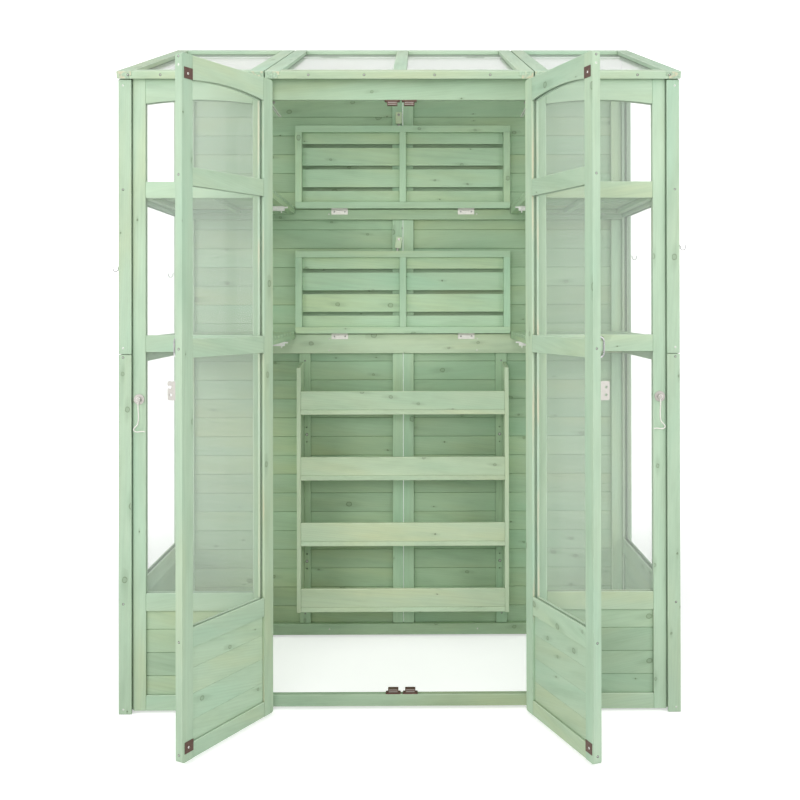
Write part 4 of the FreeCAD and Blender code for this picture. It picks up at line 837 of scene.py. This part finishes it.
front, behind, below = (0, 1, 0), (0, -1, 0), (0, 0, 1)  # which way a line goes from there
placed = {}  # body: list of (spot, normal, size, look)


def screw(nodeName, start, direction, size, look, beside=0.0):
    # beside: how far above a hole its surface is looked for
    spot, normal = seat(nodeName, Vector(start) + Vector((0, 0, beside)), direction)
    spot.z -= beside
    placed.setdefault(nodeBodies[nodeName], []).append((spot, normal, size, look))


# where they are: x from the middle, heights z, and reach from a door's pin
roofScrews = {"z": 1.7025, "frameX": (0.636, 0.722), "ventX": (0.094, 0.2425)}
stripScrews = {
    "x": 0.7375,
    "front": {1.676: bright, 1.398: sunk, 0.975: bright, 0.950: sunk, 0.2935: sunk, 0.013: bright},
    "rearHigher": 0.02,
    "sideY": (-0.150, 0.470),
    "sideZ": (0.13, 0.40, 0.70, 1.10, 1.42, 1.65),
}
railScrews = (
    (0.2425, 0.978),
    (0.2425, 0.940),
    (0.2425, 1.387),
    (0.2425, 0.026),
    (0.66, 0.962),
    (0.66, 1.387),
)
battenScrews = {
    "rackX": 0.317,
    "rackZ": (0.2465, 0.663),
    "aboveHole": 0.005,  # where the batten's face is looked for
    "wallX": 0.323,
    "wallZ": (0.075, 0.57, 0.905),
}
hingeScrews = {"x": (0.190, 0.225), "flapZ": (0.9855, 1.3948), "ventZ": 1.897, "ventFurther": 0.032}
doorScrews = {
    "edge": {1.679: sunk, 1.659: bright, 1.399: sunk, 0.986: sunk, 0.294: sunk, 0.028: sunk},
    "strikeReach": doors["reach"] - 0.021,
    "strikeZ": (0.0415, 1.6405),
    "faceZ": (0.060, 0.285, 0.90, 1.30, 1.60),
    "faceReach": (0.020, 0.336),
}
stayHoles = {"x": 0.352, "y": -0.095, "step": 0.021, "count": 8}
nails = {"x": (0.018, 0.323, 0.704), "z": 0.029, "step": 0.062, "count": 30}

for side in (-1, 1):
    end = "left" if side < 0 else "right"
    outwards, inwards = doorWays(end)
    for x in roofScrews["frameX"]:
        screw(f"roof_{end}_frame", (side * x, -1, roofScrews["z"]), front, 1.0, sunk)
    for x in roofScrews["ventX"]:
        screw("vent_frame", (side * x, -1, roofScrews["z"]), front, 1.0, sunk)
    for z, look in stripScrews["front"].items():
        x = side * stripScrews["x"]
        screw("corner_strips", (x, -1, z), front, 0.9, look)
        screw("corner_strips", (x, 1, z + stripScrews["rearHigher"]), behind, 0.9, look)
    for z in stripScrews["sideZ"]:
        for y in stripScrews["sideY"]:
            screw("corner_strips", (side, y, z), (-side, 0, 0), 0.9, sunk)
    for x, z in railScrews:
        screw("back_rails", (side * x, 0.2, z), front, 0.85, bright)
    for z in battenScrews["rackZ"]:
        for size, look in ((1.2, bright), (1.4, hole)):
            start = (side * battenScrews["rackX"], 0.2, z)
            screw("rack_battens", start, front, size, look, battenScrews["aboveHole"])
    for z in battenScrews["wallZ"]:
        screw("rack_battens", (side * battenScrews["wallX"], 0.2, z), front, 0.8, sunk)
    for x in hingeScrews["x"]:
        for z in hingeScrews["flapZ"]:
            screw("fixed_hinge_leaves", (side * x, 0.2, z), front, 0.75, sunk)
        x += hingeScrews["ventFurther"]
        screw("fixed_hinge_leaves", (side * x, 0.6, hingeScrews["ventZ"]), behind, 0.9, sunk)
    for z, look in doorScrews["edge"].items():
        screw(f"{end}_door_frame", doorPoint(end, 0.5, doors["middle"], z), -outwards, 0.9, look)
    for z in doorScrews["strikeZ"]:
        start = doorPoint(end, doorScrews["strikeReach"], 0.2, z)
        screw(f"{end}_door_strikes", start, -inwards, 1.05, bright)
    for z in doorScrews["faceZ"]:
        for reach in doorScrews["faceReach"]:
            screw(f"{end}_door_frame", doorPoint(end, reach, -0.2, z), inwards, 0.7, sunk)
    for row in range(stayHoles["count"]):
        start = (side * stayHoles["x"], stayHoles["y"] + stayHoles["step"] * row, 1.6)
        screw(f"{end}_vent_stay", start, below, 0.75, hole)
for x in nails["x"]:
    for row in range(nails["count"]):
        for side in (-1, 1):
            start = (side * x, 1, nails["z"] + nails["step"] * row)
            screw("back_boards", start, behind, 0.5, bright)
print("screws seated:", sum(len(spots) for spots in placed.values()))

tree = screwTree()
screwValues = {label: value for label, kind, value in screwSockets}
for body, spots in placed.items():
    mesh = bpy.data.meshes.new("screwSpots")
    mesh.from_pydata([spot[:] for spot, normal, size, look in spots], [], [])
    normals = np.array([normal[:] for spot, normal, size, look in spots])
    layer = mesh.attributes.new("facing", "FLOAT_VECTOR", "POINT")
    layer.data.foreach_set("vector", normals.ravel())
    for label, item in (("size", 2), ("look", 3)):
        layer = mesh.attributes.new(label, "FLOAT", "POINT")
        layer.data.foreach_set("value", [row[item] for row in spots])
    source = bpy.data.objects.new("screwSpots", mesh)
    bpy.context.scene.collection.objects.link(source)
    modifier = source.modifiers.new("screws", "NODES")
    modifier.node_group = tree
    for item in tree.interface.items_tree:
        if item.in_out == "INPUT" and item.name in screwValues:
            modifier[item.identifier] = screwValues[item.name]
    worked = source.evaluated_get(bpy.context.evaluated_depsgraph_get())
    made = bpy.data.meshes.new_from_object(worked)
    bpy.data.objects.remove(source)
    piece = bpy.data.objects.new(body + "Screws", made)
    bpy.context.scene.collection.objects.link(piece)
    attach(piece, body)


# Camera, lamps, floor and background

view = {
    "place": (0.0466, -2.9539, 1.0922),
    "yaw": -0.482,
    "pitch": 0.206,
    "roll": -0.099,
    "lens": 46.67,
    "shiftX": -0.03241,
    "shiftY": -0.12498,
    "farthest": 60.0,
}
camera = bpy.data.objects.new("camera", bpy.data.cameras.new("camera"))
bpy.context.scene.collection.objects.link(camera)
turn = Matrix.Rotation(math.radians(view["yaw"]), 3, "Z")
turn = turn @ Matrix.Rotation(math.radians(90 + view["pitch"]), 3, "X")
turn = turn @ Matrix.Rotation(math.radians(view["roll"]), 3, "Z")
camera.location = view["place"]
camera.rotation_euler = turn.to_euler()
camera.data.lens = view["lens"]
camera.data.shift_x = view["shiftX"]
camera.data.shift_y = view["shiftY"]
camera.data.clip_end = view["farthest"]
bpy.context.scene.camera = camera

lamps = {
    "key": {"place": (-0.8, -4.9, 1.9), "size": 2.2, "power": 52.0},
    "top": {"place": (0.0, -1.6, 3.6), "size": 2.2, "power": 25.0},
    "left": {"place": (-3.5, -2.5, 2.1), "size": 2.0, "power": 68.0},
    "right": {"place": (3.5, -2.5, 2.1), "size": 2.0, "power": 63.0},
}
lampAim = (0, 0, 1.0)
for name, light in lamps.items():
    lamp = bpy.data.objects.new(name + "Lamp", bpy.data.lights.new(name + "Lamp", "AREA"))
    lamp.data.size = light["size"]
    lamp.data.energy = light["power"]
    lamp.location = light["place"]
    lamp.rotation_euler = (Vector(lampAim) - lamp.location).to_track_quat("-Z", "Y").to_euler()
    bpy.context.scene.collection.objects.link(lamp)

studio = {
    "sky": 0.43,
    "backdrop": 1.5,  # over 1, because it is seen through hazy sheets too
    "paper": (0.86, 0.86, 0.86, 1),
    "paperRough": 0.9,
    "floorGlow": 0.50,
    "floorFade": (1.3, 3.2),  # how far from the middle the floor turns white
    "floorReach": 12.0,
    "floorBelow": 0.0005,
}


def seenDirectly(tree):
    # 1 where a ray comes from the camera, a gloss or a sheet, else 0
    rays = addNode(tree, "ShaderNodeLightPath").outputs
    value = rays["Is Camera Ray"]
    for label in ("Is Glossy Ray", "Is Transmission Ray"):
        either = addNode(tree, "ShaderNodeMath", {0: value, 1: rays[label]}, operation="MAXIMUM")
        value = either.outputs[0]
    return value


world = bpy.data.worlds.new("studio")
bpy.context.scene.world = world
world.use_nodes = True
background = world.node_tree.nodes["Background"].inputs
background["Color"].default_value = (1, 1, 1, 1)
seen = seenDirectly(world.node_tree)
levels = {"Value": seen, "To Min": studio["sky"], "To Max": studio["backdrop"]}
level = addNode(world.node_tree, "ShaderNodeMapRange", levels).outputs["Result"]
feed(world.node_tree, background["Strength"], level)

reach = studio["floorReach"]
corners = [(-reach, -reach, 0), (reach, -reach, 0), (reach, reach, 0), (-reach, reach, 0)]
floorMesh = bpy.data.meshes.new("floor")
floorMesh.from_pydata(corners, [], [(0, 1, 2, 3)])
floor = bpy.data.objects.new("floor", floorMesh)
floor.location.z = -studio["floorBelow"]
bpy.context.scene.collection.objects.link(floor)
paper = Shader("paper")
spread = paper.add("ShaderNodeTexCoord").outputs["Object"]
distance = paper.vector("LENGTH", {0: spread}, "Value")
glow = paper.ramp(distance, *studio["floorFade"], studio["floorGlow"], 1.0)
paper.finish(
    BaseColor=studio["paper"],
    Roughness=studio["paperRough"],
    SpecularIORLevel=0.0,
    EmissionColor=(1, 1, 1, 1),
    EmissionStrength=paper.math("MULTIPLY", seenDirectly(paper.tree), glow),
)
floorMesh.materials.append(paper.material)

bpy.context.scene.view_settings.view_transform = "Standard"
print("studio set")
